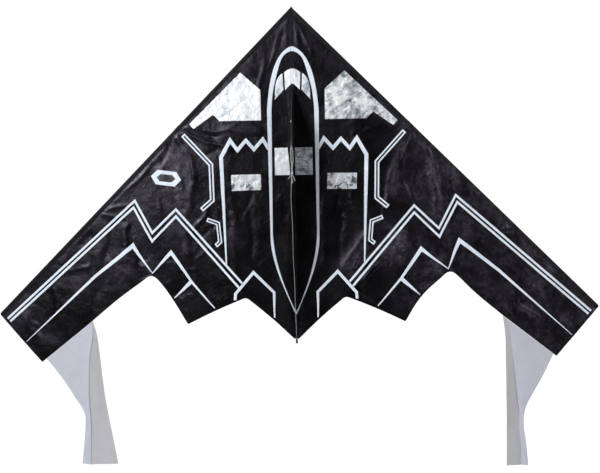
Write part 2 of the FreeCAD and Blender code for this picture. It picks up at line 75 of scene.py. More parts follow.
# ---------------------------------------------------------------- camera
def make_camera():
    """The photo's camera, fitted to points of the kite."""
    azimuth, elevation, roll = (math.radians(v) for v in (3.0, 1.14, -0.99))
    aim, distance = Vector((0.019, 0.0, -0.872)), 5.5
    back = Vector((math.sin(azimuth) * math.cos(elevation), -math.cos(azimuth) * math.cos(elevation),
                   math.sin(elevation)))
    side = Vector((math.cos(azimuth), math.sin(azimuth), 0.0))
    rise = side.cross(-back)
    right = side * math.cos(roll) + rise * math.sin(roll)
    up = rise * math.cos(roll) - side * math.sin(roll)
    data = bpy.data.cameras.new("camera")
    data.sensor_width, data.lens = 36.0, 86.75
    camera = put("camera", data)
    turned = Matrix((right, up, back)).transposed().to_4x4()
    camera.matrix_world = Matrix.Translation(aim + back * distance) @ turned
    bpy.context.scene.camera = camera


make_camera()


# ---------------------------------------------------------------- materials
def feed(tree, socket, value):
    """Links an input to an output, or sets its value."""
    if isinstance(value, bpy.types.NodeSocket):
        tree.links.new(value, socket)
    else:
        socket.default_value = value


def add_node(tree, kind, inputs, **settings):
    node = tree.nodes.new("ShaderNode" + kind)
    for key, value in settings.items():
        setattr(node, key, value)
    for key, value in inputs.items():
        feed(tree, node.inputs[key], value)
    return node


def add_ramp(tree, factor, *stops):
    """Colours, or grey values, at places along a range."""
    ramp = add_node(tree, "ValToRGB", {0: factor})
    elements = ramp.color_ramp.elements
    while len(elements) < len(stops):
        elements.new(0.5)
    for element, (position, colour) in zip(elements, stops):
        element.position = position
        element.color = (*colour, 1.0) if isinstance(colour, tuple) else (colour, colour, colour, 1.0)
    return ramp.outputs[0]


class Look:
    """A procedural material under construction."""

    def __init__(self, name, metallic=0.0, specular=0.5, sheen=0.0, coat=0.0, coat_roughness=0.2):
        self.material = bpy.data.materials.new(name)
        self.material.use_nodes = True
        self.tree = self.material.node_tree
        self.tree.nodes.clear()
        self.shader = self.node("BsdfPrincipled", {
            "Metallic": metallic, "Specular IOR Level": specular, "Sheen Weight": sheen, "Coat Weight": coat,
            "Coat Roughness": coat_roughness})
        self.node("OutputMaterial", {0: self.shader.outputs[0]})
        self.place = self.node("TexCoord", {}).outputs["Object"]
        self.normal = None

    def node(self, kind, inputs, **settings):
        return add_node(self.tree, kind, inputs, **settings)

    def set(self, socket, value):
        feed(self.tree, self.shader.inputs[socket], value)

    def noise(self, scale, detail=2.0, roughness=0.5, stretch=None, distortion=0.0, slant=0.0):
        place = self.place
        if slant:
            place = self.node("VectorRotate", {"Vector": place, "Angle": math.radians(slant)},
                              rotation_type="Y_AXIS").outputs[0]
        if stretch:
            place = self.node("Mapping", {"Vector": place, "Scale": stretch}).outputs[0]
        return self.node("TexNoise", {"Vector": place, "Scale": scale, "Detail": detail, "Roughness": roughness,
                                      "Distortion": distortion}).outputs["Fac"]

    def varied(self, noise, low, high, start=0.3):
        """A colour or value that wanders between two with a noise."""
        return add_ramp(self.tree, self.noise(*noise), (start, low), (0.7, high))

    def cells(self, scale, warp):
        """Facets with wavering borders."""
        noise = self.node("TexNoise", {"Vector": self.place, "Scale": scale * 0.6})
        place = self.node("VectorMath", {0: noise.outputs["Color"], 1: (warp, warp, warp), 2: self.place},
                          operation="MULTIPLY_ADD").outputs[0]
        return self.node("TexVoronoi", {"Vector": place, "Scale": scale}).outputs["Distance"]

    def math(self, operation, *values):
        return self.node("Math", dict(enumerate(values)), operation=operation).outputs[0]

    def threads(self, axes, pitch, width=0.16):
        """Ripstop: a grid of thicker threads, as a height from 0 to 1."""
        split = self.node("SeparateXYZ", {0: self.place})
        rises = []
        for axis in axes:
            turns = self.math("FRACT", self.math("MULTIPLY", split.outputs[axis], 1.0 / pitch))
            away = self.math("ABSOLUTE", self.math("SUBTRACT", turns, 0.5))
            rises.append(self.math("MINIMUM", self.math("DIVIDE", away, width), 1.0))
        return self.math("SUBTRACT", 1.0, self.math("MINIMUM", *rises))

    def bump(self, height, strength, distance):
        """Adds a bump to those already there."""
        inputs = {"Height": height, "Strength": strength, "Distance": distance}
        if self.normal is not None:
            inputs["Normal"] = self.normal
        self.normal = self.node("Bump", inputs).outputs[0]
        self.set("Normal", self.normal)


def surface(name, colour, rough, *bumps, **shader):
    """A look from noises: colour and rough are (noise, low, high), and each bump is (noise, strength, distance)."""
    look = Look(name, **shader)
    look.set("Base Color", look.varied(*colour))
    look.set("Roughness", look.varied(*rough) if isinstance(rough, tuple) else rough)
    for noise, strength, distance in bumps:
        look.bump(look.noise(*noise), strength, distance)
    return look


def black_ripstop(name, axes, specular=0.42, low=0.22, high=0.34, crumple=0.35):
    """Coated nylon, deep black and glossy. Where the sail's sheen attribute is high the cloth is rougher and its
    colour is lightened to purple-grey: a painted sheen.
    """
    look = Look(name, specular=specular, sheen=0.01)
    look.set("Specular Tint", (0.9, 0.84, 1.0, 1.0))
    look.set("Sheen Tint", (0.62, 0.52, 0.78, 1.0))
    look.set("Sheen Roughness", 0.35)
    # Painted sheen: the colour is mixed from black towards purple-grey by the sheen attribute, broken up by a noise;
    # the same share raises the roughness.
    sheen_share = look.node("Attribute", {}, attribute_name="painted_sheen").outputs["Fac"]
    black = look.varied((3.2, 3.0), (0.0009, 0.0008, 0.001), (0.0026, 0.0022, 0.0029), 0.35)
    sheen_breakup = add_ramp(look.tree, look.noise(40.0, 6.0, 0.72, None, 1.4), (0.42, 0.05), (0.5, 0.55), (0.57, 1.15))
    painted_sheen_share = look.math("MULTIPLY", sheen_share, sheen_breakup)
    mix = look.node("Mix", {0: painted_sheen_share, 6: black, 7: (0.060, 0.050, 0.073, 1.0)}, data_type="RGBA")
    look.set("Base Color", mix.outputs[2])
    look.set("Roughness", look.math("MULTIPLY_ADD", sheen_share, 0.2, look.varied((9.0, 3.0), low, high)))
    look.bump(look.noise(30.0, 4.0, 0.55), crumple, 0.005)
    look.bump(look.noise(85.0, 4.0, 0.6), crumple, 0.0024)
    look.bump(look.threads(axes, 0.005), 0.2, 0.0002)
    return look.material


def pale_ripstop(name, low, high, sheen=0.15):
    look = surface(name, ((22.0, 4.0, 0.6), low, high), ((30.0, 2.0), 0.5, 0.64), ((60.0, 3.0, 0.55), 0.25, 0.002),
                   specular=0.4, sheen=sheen)
    look.bump(look.threads("XZ", 0.004), 0.3, 0.00015)
    return look.material


def silver_foil(name, metallic, dark, bright, share, spread=0.08, grain=26.0, stretch=None, slant=0.0):
    """Metallised film laminated to cloth, crumpled into small facets. It is mostly diffuse, and its base colour
    paints the film's reflections: bright, with dark mottles and facets where the crumples would mirror dark
    surroundings.
    """
    look = Look(name, metallic=metallic, specular=0.6)
    facets = look.cells(34.0, 0.03)
    reflection_mottle = look.noise(grain, 6.0, 0.68, stretch, 0.8, slant)
    speckle = look.math("MULTIPLY_ADD", look.noise(grain * 5.0, 3.0, 0.6), 0.35, reflection_mottle)
    painted_reflections = look.math("MULTIPLY_ADD", facets, 0.3, speckle)
    # Painted reflections: the base colour runs from the dark to the bright colour over the mottles.
    look.set("Base Color", add_ramp(look.tree, painted_reflections, (share - spread, dark), (share + spread, bright)))
    look.set("Roughness", look.varied((40.0, 3.0), 0.26, 0.42))
    look.bump(look.cells(42.0, 0.035), 0.45, 0.004)
    look.bump(look.noise(120.0, 3.0), 0.5, 0.0016)
    return look.material


def cloth_weave(name, low, high, scale=900.0, roughness=0.8, sheen=0.2, specular=0.3):
    return surface(name, ((60.0, 4.0), low, high), roughness, ((scale, 2.0), 0.4, 0.0004), specular=specular,
                   sheen=sheen).material


def plastic(name, low, high, rough_low, rough_high, grain=700.0):
    return surface(name, ((90.0, 4.0), low, high), ((140.0, 3.0), rough_low, rough_high),
                   ((grain, 2.0), 0.25, 0.0002)).material


SAIL = black_ripstop("black_ripstop", "XZ")
KEEL = black_ripstop("keel_ripstop", "YZ", 0.12, 0.6, 0.72)
EDGE_BAND = black_ripstop("edge_band", "XZ", 0.25, 0.5, 0.6, 0.2)
WHITE = pale_ripstop("pale_ripstop", (0.66, 0.73, 0.83), (0.8, 0.86, 0.94))
# A darker, warmer copy of the tail cloth: painted shade for the part of each tail from its fold to its inner edge.
TAIL_SHADED = pale_ripstop("tail_ripstop_painted_shade", (0.465, 0.455, 0.48), (0.5, 0.49, 0.51), 0.2)
TAIL = pale_ripstop("tail_ripstop", (0.485, 0.505, 0.565), (0.515, 0.535, 0.6), 0.2)
# The left wing's foils are bright; the right wing's are darker copies of the same film, with painted shade and darker
# painted reflections, and the banded one has painted highlight bands.
SILVER_BRIGHT, SILVER_BANDED, SILVER_MOTTLED, SILVER_BLOTCHED, SILVER_PAINTED_SHADE, SILVER_PANE, INLAY = (
    silver_foil(*row) for row in (
        ("silver_bright", 0.15, (0.58, 0.65, 0.73), (0.95, 0.97, 1.0), 0.7, 0.1, 22.0, (1.0, 1.0, 0.4), 20.0),
        ("silver_banded", 0.3, (0.15, 0.18, 0.23), (0.97, 1.0, 1.0), 0.77, 0.14, 22.0, (0.4, 1.0, 1.3), 32.0),
        ("silver_mottled", 0.35, (0.2, 0.23, 0.27), (0.96, 0.99, 1.0), 0.73, 0.07, 40.0),
        ("silver_blotched", 0.35, (0.07, 0.085, 0.11), (0.89, 0.93, 0.99), 0.775, 0.07, 44.0),
        ("silver_dull", 0.35, (0.1, 0.12, 0.16), (0.82, 0.9, 1.0), 0.78, 0.15, 75.0, (0.7, 1.0, 1.4)),
        ("silver_pane", 0.2, (0.3, 0.36, 0.43), (0.9, 0.95, 1.0), 0.77, 0.14, 26.0, (1.0, 1.0, 0.5), -25.0),
        ("inlay_foil", 0.4, (0.02, 0.02, 0.024), (0.06, 0.06, 0.07), 0.5)))
BINDING = cloth_weave("grey_binding", (0.22, 0.22, 0.235), (0.34, 0.34, 0.36))
TAPE = cloth_weave("webbing", (0.012, 0.012, 0.014), (0.03, 0.03, 0.034), 500.0)
EDGE_TAPE = cloth_weave("edge_tape", (0.012, 0.011, 0.014), (0.026, 0.023, 0.03), 500.0, 0.7, 0.02)
BLACK_THREAD = cloth_weave("black_thread", (0.003, 0.003, 0.0035), (0.009, 0.009, 0.01), 3000.0, 0.9, 0.0, 0.05)
WHITE_THREAD = cloth_weave("white_thread", (0.6, 0.62, 0.66), (0.8, 0.82, 0.86), 3000.0)
LINE = cloth_weave("white_line", (0.4, 0.39, 0.37), (0.62, 0.61, 0.58), 2500.0)
GLASS_GRAIN = (160.0, 4.0, 0.6, (0.06, 1.0, 0.06))
ROD = surface("fibreglass", (GLASS_GRAIN, (0.018, 0.018, 0.02), (0.055, 0.055, 0.06), 0.35),
              (GLASS_GRAIN, 0.3, 0.48), (GLASS_GRAIN, 0.2, 0.0003), coat=0.35, coat_roughness=0.25).material
VINYL = plastic("vinyl", (0.012, 0.012, 0.013), (0.028, 0.028, 0.03), 0.35, 0.55)
MOULDED = plastic("moulded_plastic", (0.016, 0.016, 0.018), (0.04, 0.04, 0.043), 0.4, 0.6, 900.0)
EYELET = surface("eyelet_metal", ((500.0, 4.0), (0.7, 0.69, 0.67), (0.92, 0.91, 0.89)), ((700.0, 3.0), 0.25, 0.42),
                 ((1500.0, 2.0), 0.15, 0.0001), metallic=0.8).material
FLOOR = surface("floor", ((3.0, 2.0), (1.0, 1.0, 1.0), (0.995, 0.995, 0.995)), 0.9, specular=0.1).material


# ---------------------------------------------------------------- the sail's surface
# Corners of the right wing's cut, as (out, z).
TIP, TAIL_CORNER, NOTCH = (1.143, -1.151), (0.980, -1.338), (0.568, -1.014)
INNER_POINT, CENTRE_NOTCH, MIDDLE = (0.414, -1.200), (0.190, -1.105), (0.005, -1.264)
EDGE_LENGTH = math.hypot(*TIP)
EDGE_OUT, EDGE_FALL = TIP[0] / EDGE_LENGTH, -TIP[1] / EDGE_LENGTH    # the leading edge's direction
SEAM_OUT = 0.781            # where the tip panel is joined on
SLEEVE_WIDTH = 0.0165       # in from the leading edge
FOLD_OUT = 0.005            # the folding line of each wing, beside the tape
SPREADER_DOWN = 0.453       # from the nose to where the spreader hooks on
SPAR_INSET = 0.005          # the leading edge spar's axis, in from the edge

# Creases of the cloth in millimetres: from (x, down) to (x, down), width, and height towards the front.
CREASES = [
    (-6, 15, -95, 234, 7, 1.2), (-10, 23, -51, 159, 6, -1.0), (-4, 15, -25, 159, 5, 0.9),
    (-190, 201, -432, 435, 11, 3), (-456, 457, -390, 581, 9, 4), (-390, 581, -385, 665, 10, 4),
    (-385, 665, -419, 789, 13, 3), (-460, 468, -505, 585, 10, -3), (-472, 487, -566, 614, 9, 3),
    (-566, 614, -707, 729, 9, 2.5), (-440, 461, -292, 484, 7, -2), (-440, 453, -128, 473, 8, 2.5),
    (-433, 469, -237, 535, 8, 2), (-749, 762, -604, 739, 7, 2), (-750, 766, -644, 799, 7, 2),
    (-745, 750, -668, 707, 7, 1.5), (-644, 810, -659, 951, 15, 3), (-693, 809, -728, 949, 13, -3),
    (-712, 949, -649, 1020, 8, 2), (-666, 913, -611, 1002, 8, 2), (-441, 781, -400, 958, 10, 3),
    (-338, 776, -389, 844, 8, 3), (-553, 992, -648, 951, 8, 2), (-554, 999, -630, 1020, 8, -2),
    (-234, 726, -227, 1050, 15, 2), (-166, 766, -164, 964, 13, -2), (-106, 195, -137, 385, 8, 1.3),
    (-1053, 1154, -980, 1259, 11, 3), (-936, 1050, -894, 1204, 13, 2), (-505, 597, -478, 719, 14, 3.5),
    (-436, 598, -433, 740, 12, 3), (4, 15, 18, 145, 5, 1.0), (6, 15, 48, 146, 6, -1.1),
    (9, 19, 81, 193, 7, 1.3), (217, 231, 452, 446, 7, 2.5), (235, 273, 433, 446, 7, -2.5),
    (257, 312, 421, 449, 7, 2), (154, 164, 310, 313, 8, 2), (440, 442, 268, 472, 7, 2.5),
    (444, 454, 298, 499, 7, -2), (448, 461, 202, 527, 8, 2), (459, 469, 409, 609, 12, 2.6),
    (391, 574, 353, 711, 12, 2.6), (353, 711, 340, 802, 10, 3), (482, 470, 503, 532, 9, 3),
    (503, 532, 536, 715, 14, 3.4), (536, 715, 545, 834, 13, 4), (489, 463, 556, 552, 11, 2),
    (556, 552, 638, 627, 12, 2.4), (638, 627, 733, 751, 12, 2.2), (581, 595, 597, 709, 12, -2.2),
    (427, 667, 452, 744, 11, -3), (786, 790, 802, 886, 8, 2.5), (830, 837, 776, 859, 7, 2),
    (859, 907, 895, 992, 8, 2), (952, 1004, 1005, 1139, 10, 3), (1074, 1141, 1052, 1255, 11, 3),
    (912, 1080, 947, 1176, 10, 3), (834, 1135, 927, 1206, 9, 2.5), (347, 802, 246, 891, 11, 3.5),
    (246, 891, 178, 1007, 13, 4), (335, 962, 245, 1058, 9, 3), (396, 837, 354, 977, 10, -3),
    (287, 930, 207, 1042, 9, -2.5), (578, 1014, 476, 981, 7, 2), (574, 1029, 488, 1088, 7, 2),
    (658, 863, 628, 985, 11, 3), (777, 1133, 821, 1203, 8, 2), (109, 735, 113, 1002, 14, 2),
    (176, 775, 164, 972, 13, -2),
]

# Patches where the cloth's colour is lightened with a painted purple-grey sheen and its gloss roughened, in
# millimetres:
# (x, down), half length, half width, lean from the vertical in degrees, and strength.
PAINTED_SHEEN_PATCHES = [
    (-443, 633, 154, 46, 0, 1.00), (-511, 564, 61, 35, 25, 0.55), (-660, 683, 115, 31, 42, 0.22),
    (-658, 966, 50, 42, 0, 0.60), (-1049, 1157, 27, 19, 20, 0.70), (-950, 1250, 19, 35, 0, 0.45),
    (-261, 294, 100, 27, 40, 0.38), (-9, 99, 65, 38, 0, 0.22), (-565, 960, 35, 31, 0, 0.50),
    (-429, 870, 50, 19, -15, 0.50), (-225, 862, 61, 31, 0, 0.22), (-829, 1037, 35, 54, 0, 0.25),
    (-233, 462, 23, 77, 0, 0.25), (-729, 854, 61, 27, 0, 0.22), (-129, 199, 54, 27, 35, 0.24),
    (530, 659, 154, 27, -6, 0.95), (587, 630, 92, 31, -38, 0.65), (395, 611, 100, 23, 14, 0.75),
    (695, 730, 35, 58, -35, 0.60), (375, 906, 77, 54, 20, 0.80), (227, 942, 77, 35, 30, 0.80),
    (525, 977, 61, 46, 0, 0.70), (805, 875, 61, 38, -30, 0.50), (908, 1051, 38, 69, -25, 0.60),
    (1018, 1196, 35, 38, 0, 0.75), (862, 1156, 23, 54, 0, 0.50), (301, 352, 92, 27, -46, 0.34),
    (413, 445, 19, 38, 0, 0.50), (946, 983, 35, 23, 0, 0.50), (594, 906, 35, 27, 0, 0.45),
    (70, 127, 38, 23, -25, 0.18), (202, 187, 69, 23, -42, 0.20), (468, 779, 54, 27, 10, 0.50),
    (663, 828, 31, 31, 0, 0.35),
]


def xyz(x, y, z):
    return np.stack([x, y, z], -1)


def unit(vectors):
    return vectors / np.linalg.norm(vectors, axis=-1, keepdims=True)


def smooth(value, low, high):
    t = np.clip((value - low) / (high - low), 0.0, 1.0)
    return t * t * (3 - 2 * t)


def lumps(x, z, size, seed, stretch=1.0):
    """Smooth noise from -1 to 1, with lumps of about size across and size * stretch down."""
    table = np.random.RandomState(seed).uniform(-1.0, 1.0, (61, 61))
    u, v = x / size + 200.0, z / (size * stretch) + 200.0
    i, j = np.floor(u).astype(int), np.floor(v).astype(int)
    f, g = (w * w * w * (w * (w * 6 - 15) + 10) for w in (u - i, v - j))
    a, b, c, d = (table[(i + p) % 61, (j + q) % 61] for p, q in ((0, 0), (1, 0), (0, 1), (1, 1)))
    return (a * (1 - f) + b * f) * (1 - g) + (c * (1 - f) + d * f) * g


def small_creases():
    """Short handling creases scattered over both wings."""
    pick = np.random.RandomState(11)
    found = []
    while len(found) < 120:
        x, down = pick.uniform(-1110, 1110), pick.uniform(60, 1330)
        angle, length = pick.uniform(0, math.pi), pick.uniform(35, 120)
        width, height = pick.uniform(7, 11), pick.choice([-1, 1]) * pick.uniform(0.7, 1.6)
        if down > abs(x) * 1.007 + 30 and (abs(x) > 120 or down < 150):
            reach = (length / 2 * math.cos(angle), length / 2 * math.sin(angle))
            found.append((x - reach[0], down - reach[1], x + reach[0], down + reach[1], width, height))
    return found


ALL_CREASES = CREASES + small_creases()


def edge_inset(x, z):
    """Distance in from the leading edge."""
    return -z * EDGE_OUT - np.abs(x) * EDGE_FALL


def from_line(x, z, a, b):
    """How far points lie along the line from a to b, how far to its left, its length and its direction."""
    length = math.hypot(b[0] - a[0], b[1] - a[1])
    ux, uz = (b[0] - a[0]) / length, (b[1] - a[1]) / length
    return (x - a[0]) * ux + (z - a[1]) * uz, (z - a[1]) * ux - (x - a[0]) * uz, length, ux, uz


def painted_sheen(x, z):
    """How strongly the cloth's gloss is roughened and its colour lightened with painted sheen, from 0 to 1."""
    total = np.zeros_like(x)
    for x0, down, long, wide, lean_angle, strength in PAINTED_SHEEN_PATCHES:
        c, n = math.cos(math.radians(lean_angle)), math.sin(math.radians(lean_angle))
        dx, dz = x - x0 * MM, z + down * MM
        a, b = (dx * n + dz * c) / (long * MM), (dx * c - dz * n) / (wide * MM)
        total = np.maximum(total, strength * np.exp(-(np.abs(a) ** 3 + np.abs(b) ** 3) * 0.8))
    inset = edge_inset(x, z)
    # Painted sheen along the leading edge, weaker on the left wing, and over the outer right wing.
    rim_share = (0.36 - 0.3 * np.exp(-(z / 0.3) ** 2)) * np.where(x < 0, 0.4, 1.1) * smooth(inset, 0.016, 0.02)
    total = np.maximum(total, rim_share * (1 - smooth(inset, 0.028, 0.085)))
    total = np.maximum(total, 0.3 * smooth(x, 0.32, 0.5))
    patchy = 0.72 + 0.45 * lumps(x, z, 0.034, 61, 1.5) + 0.32 * lumps(x, z, 0.015, 62)
    return np.clip(total * patchy, 0.0, 1.0)


def lift(x, z):
    """How far the cloth stands forward of its flat cut."""
    x, z = np.asarray(x, float), np.asarray(z, float)
    out, inset = np.abs(x), edge_inset(x, z)
    total = np.zeros_like(x)
    for x0, d0, x1, d1, width, height in ALL_CREASES:
        near, side, length, _, _ = from_line(x, z, (x0 * MM, -d0 * MM), (x1 * MM, -d1 * MM))
        wander = 0.004 * np.sin(near * 38.0 + x0)
        near_here = (np.abs(side) < 4 * width * MM) & (near > -0.03) & (near < length + 0.03)
        fade = smooth(near, -0.02, 0.018) * smooth(length - near, -0.02, 0.03)
        total += np.where(near_here, height * MM * fade * np.exp(-(((side - wander) / (width * MM)) ** 2)), 0.0)
    wing = smooth(out, 0.03, 0.30) * smooth(inset, 0.02, 0.22)
    total += 0.0065 * wing
    total += (0.0026 * lumps(x, z, 0.21, 1, 1.6) + 0.0015 * lumps(x, z, 0.09, 2, 1.7)) * (0.35 + 0.65 * wing)
    rough = smooth(lumps(x, z, 0.3, 3) + 0.35 * smooth(out, 0.5, 1.0), -0.3, 0.6)
    total += 0.0008 * lumps(x, z, 0.042, 4, 1.4) * (0.4 + rough)
    total += 0.0004 * lumps(x + 0.4 * z, z, 0.021, 5) * (0.3 + rough)
    loose = smooth(-z - 0.9, 0.0, 0.3)
    total += loose * 0.0022 * np.sin(x * 17.0 + 1.3) * np.sin(z * 9.0)
    held = smooth(out, 0.0055, 0.022) * smooth(inset, 0.014, 0.032)
    total = np.clip(total, -0.0032, 0.0035 + 0.045 * out) * held
    near_edge = np.exp(-(((inset - 0.006) / 0.0045) ** 2)) * 0.0009
    seam = -0.0006 * np.exp(-(((inset - 0.017) / 0.0022) ** 2))
    joined = -0.0006 * np.exp(-(((out - SEAM_OUT) / 0.003) ** 2))
    return total + (near_edge + seam) * smooth(out, 0.005, 0.02) + joined


# The hem draws the trailing edge in between these points: depth and reach of the hollow.
HOLLOWS = [(INNER_POINT, NOTCH, 0.011, 0.05), (CENTRE_NOTCH, INNER_POINT, 0.003, 0.03),
           (MIDDLE, CENTRE_NOTCH, 0.003, 0.03)]


def pulled(x, z):
    """Where the hem's tension moves points of the flat cut."""
    x, z = np.array(x, float), np.array(z, float)
    sign, out = np.where(x < 0, -1.0, 1.0), np.abs(x)
    for a, b, depth, reach in HOLLOWS:
        along, side, length, ux, uz = from_line(out, z, a, b)
        bow = np.sin(np.clip(along / length, 0, 1) * math.pi) ** 1.2 * smooth(out, 0.006, 0.05)
        shift = depth * bow * np.exp(-((side / reach) ** 2))
        out, z = out - shift * uz, z + shift * ux
    drift = 0.017 * np.exp(-(((out - 0.568) / 0.095) ** 2) - ((z + 1.03) / 0.085) ** 2)
    return sign * out + drift, z


# ---------------------------------------------------------------- mesh helpers
def add_mesh(name, points, faces, material, sharp=40.0):
    mesh = bpy.data.meshes.new(name)
    mesh.from_pydata([tuple(p) for p in points], [], [tuple(int(i) for i in f) for f in faces])
    mesh.update()
    mesh.shade_smooth()
    mesh.set_sharp_from_angle(angle=math.radians(sharp))
    mesh.materials.append(material)
    return put(name, mesh)


def second_material(piece, material, chosen):
    """Gives a piece's chosen faces another material."""
    piece.data.materials.append(material)
    for face in piece.data.polygons:
        if chosen(face):
            face.material_index = 1


def outlines(node, across=0, facing=(0, -1, 0)):
    """The closed outlines of a flat CAD piece seen from one side, as arrays of (across, z)."""
    bm = bmesh.new()
    bm.from_mesh(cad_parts[node].data)
    bmesh.ops.remove_doubles(bm, verts=bm.verts, dist=2e-6)
    bm.normal_update()
    facing = Vector(facing)
    toward = [f for f in bm.faces if f.normal.dot(facing) > 0.9]
    level = max(f.calc_center_median().dot(facing) for f in toward)
    kept = {f for f in toward if f.calc_center_median().dot(facing) >= level - 1e-5}
    bmesh.ops.delete(bm, geom=[f for f in bm.faces if f not in kept], context="FACES")
    bm.verts.index_update()
    bm.verts.ensure_lookup_table()
    ahead = {}
    for edge in bm.edges:
        if len(edge.link_faces) == 1:
            a, b = (v.index for v in edge.verts)
            ahead.setdefault(a, []).append(b)
            ahead.setdefault(b, []).append(a)
    loops, used = [], set()
    for start in sorted(ahead):
        if start in used:
            continue
        loop, here, before = [], start, None
        while here is not None and here not in used:
            used.add(here)
            loop.append((bm.verts[here].co[across], bm.verts[here].co[2]))
            following = [v for v in ahead[here] if v != before and v not in used]
            before, here = here, following[0] if following else None
        loops.append(np.array(loop))
    bm.free()
    return loops


def corner_points(loop):
    """Drops the points that lie on a straight run."""
    keep = []
    for i in range(len(loop)):
        a, b, c = loop[i - 1], loop[i], loop[(i + 1) % len(loop)]
        turn = (b[0] - a[0]) * (c[1] - b[1]) - (b[1] - a[1]) * (c[0] - b[0])
        if abs(turn) > 1e-9:
            keep.append(b)
    return np.array(keep)


def cut(node):
    """The outlines of a piece of the sail, corners only."""
    return [corner_points(loop) for loop in outlines(node)]


def rounded(loop, corner, radius, deeper=0.0):
    """Rounds the outline's corner nearest to a point, once it is moved away from its neighbours by deeper."""
    loop = list(map(tuple, loop))
    i = min(range(len(loop)), key=lambda k: math.dist(loop[k], corner))
    before, here, after = (np.array(loop[k % len(loop)]) for k in (i - 1, i, i + 1))
    here = here - unit(unit(before - here) + unit(after - here)) * deeper
    start, end = here + unit(before - here) * radius, here + unit(after - here) * radius
    curve = [tuple((1 - t) ** 2 * start + 2 * t * (1 - t) * here + t * t * end) for t in np.linspace(0, 1, 9)]
    return np.array(loop[:i] + curve + loop[i + 1:])


def sides_of(loops):
    for loop in loops:
        for (u0, v0), (u1, v1) in zip(loop, np.roll(loop, -1, 0)):
            yield u0, v0, u1, v1


def inside(u, v, loops):
    odd = np.zeros(len(u), bool)
    for u0, v0, u1, v1 in sides_of(loops):
        if v0 != v1:
            odd ^= ((v0 > v) != (v1 > v)) & (u < (u1 - u0) * (v - v0) / (v1 - v0) + u0)
    return odd


def edge_distance(u, v, loops):
    nearest = np.full(len(u), 1e9)
    for u0, v0, u1, v1 in sides_of(loops):
        du, dv = u1 - u0, v1 - v0
        t = np.clip(((u - u0) * du + (v - v0) * dv) / max(du * du + dv * dv, 1e-18), 0, 1)
        nearest = np.minimum(nearest, np.hypot(u - u0 - t * du, v - v0 - t * dv))
    return nearest


def filled(loops, step):
    """Triangles inside closed outlines, with points a step apart: (points, triangles, distance in from the edge)."""
    points, edges = [], []
    for loop in loops:
        first = len(points)
        for a, b in zip(loop, np.roll(loop, -1, 0)):
            count = max(1, math.ceil(math.dist(a, b) / step))
            points += [a + (b - a) * k / count for k in range(count)]
        edges += [(k, k + 1) for k in range(first, len(points) - 1)] + [(len(points) - 1, first)]
    low, high = np.min([l.min(0) for l in loops], 0), np.max([l.max(0) for l in loops], 0)
    rows = np.arange(low[1] + step / 2, high[1], step * 0.866)
    spots = [np.arange(low[0] + (step / 2 if r % 2 else 0), high[0], step) for r in range(len(rows))]
    u = np.concatenate(spots)
    v = np.repeat(rows, [len(spot) for spot in spots])
    kept = inside(u, v, loops)
    u, v = u[kept], v[kept]
    kept = edge_distance(u, v, loops) > 0.5 * step
    points += list(np.stack([u[kept], v[kept]], 1))
    flat, _, faces, *_ = delaunay_2d_cdt([Vector(p) for p in points], edges, [], 0, 1e-8)
    flat = np.array([tuple(p) for p in flat])
    faces = np.array([f for f in faces if len(f) == 3])
    middle = flat[faces].mean(1)
    faces = faces[inside(middle[:, 0], middle[:, 1], loops)]
    a, b, c = (flat[faces[:, k]] for k in range(3))
    turn = (b[:, 0] - a[:, 0]) * (c[:, 1] - a[:, 1]) - (b[:, 1] - a[:, 1]) * (c[:, 0] - a[:, 0])
    faces[turn < 0] = faces[turn < 0][:, ::-1]
    faces = faces[np.abs(turn) > 1e-12]
    return flat, faces, edge_distance(flat[:, 0], flat[:, 1], loops)


def grid_faces(n, m, closed=False, wrapped=False):
    """Faces of n rows of m points.  The rows may be closed, and the last row may join the first."""
    faces = []
    for k in range(n if wrapped else n - 1):
        for i in range(m if closed else m - 1):
            j, after = (i + 1) % m, (k + 1) % n * m
            faces.append((k * m + i, k * m + j, after + j, after + i))
    return faces


def body_of_sheet(name, front, back, faces, material, sharp=40.0):
    """A thin closed piece from the points of its front and back, and its front's faces."""
    n = len(front)
    faces = np.array(faces)
    runs = {(int(a), int(b)) for a, b in np.stack([faces, np.roll(faces, -1, 1)], 2).reshape(-1, 2)}
    sides = [(a, a + n, b + n, b) for a, b in runs if (b, a) not in runs]
    turned = np.roll(faces[:, ::-1], 1, 1) + n
    return add_mesh(name, np.concatenate([front, back]), [*faces, *turned, *sides], material, sharp)


def sewn_on(name, node, body, material, slot, step=0.003, front=-0.0007, back=0.0, puff=0.0004, crumple=0.0,
            loops=None):
    """A piece of the sail's plane that lies on the creased surface."""
    flat, faces, away = filled(cut(node) if loops is None else loops, step)
    x, z = flat[:, 0], flat[:, 1]
    base = lift(x, z)
    rise = base + puff * smooth(away, 0.0, 0.005)
    if crumple:
        fold = np.abs(lumps(x, z, 0.016, 21)) + 0.6 * np.abs(lumps(x + z, z - x, 0.011, 22))
        rise = rise + crumple * (0.5 - fold) * smooth(away, 0.0, 0.006)
    px, pz = pulled(x, z)
    piece = body_of_sheet(name, xyz(px, front - rise, pz), xyz(px, back - base, pz), faces, material)
    return assign(piece, body, node)


# ---------------------------------------------------------------- cords
LEAN = 0.0075              # the keel's corner leans this far to the right
TOW_Y = -0.262557


def line_curve(name, routes):
    """One smooth NURBS spline of 2 mm line for each route of points."""
    data = bpy.data.curves.new(name, "CURVE")
    data.dimensions = "3D"
    data.resolution_u = 24
    data.bevel_depth = 0.001
    data.bevel_resolution = 5
    data.use_fill_caps = True
    for route in routes:
        spline = data.splines.new("NURBS")
        spline.points.add(len(route) - 1)
        for point, (across, ahead, down) in zip(spline.points, route):
            point.co = (LEAN + across * MM, TOW_Y + ahead * MM, -down * MM, 1.0)
        spline.order_u = 3
        spline.use_endpoint_u = True
    data.materials.append(LINE)
    return put(name, data)


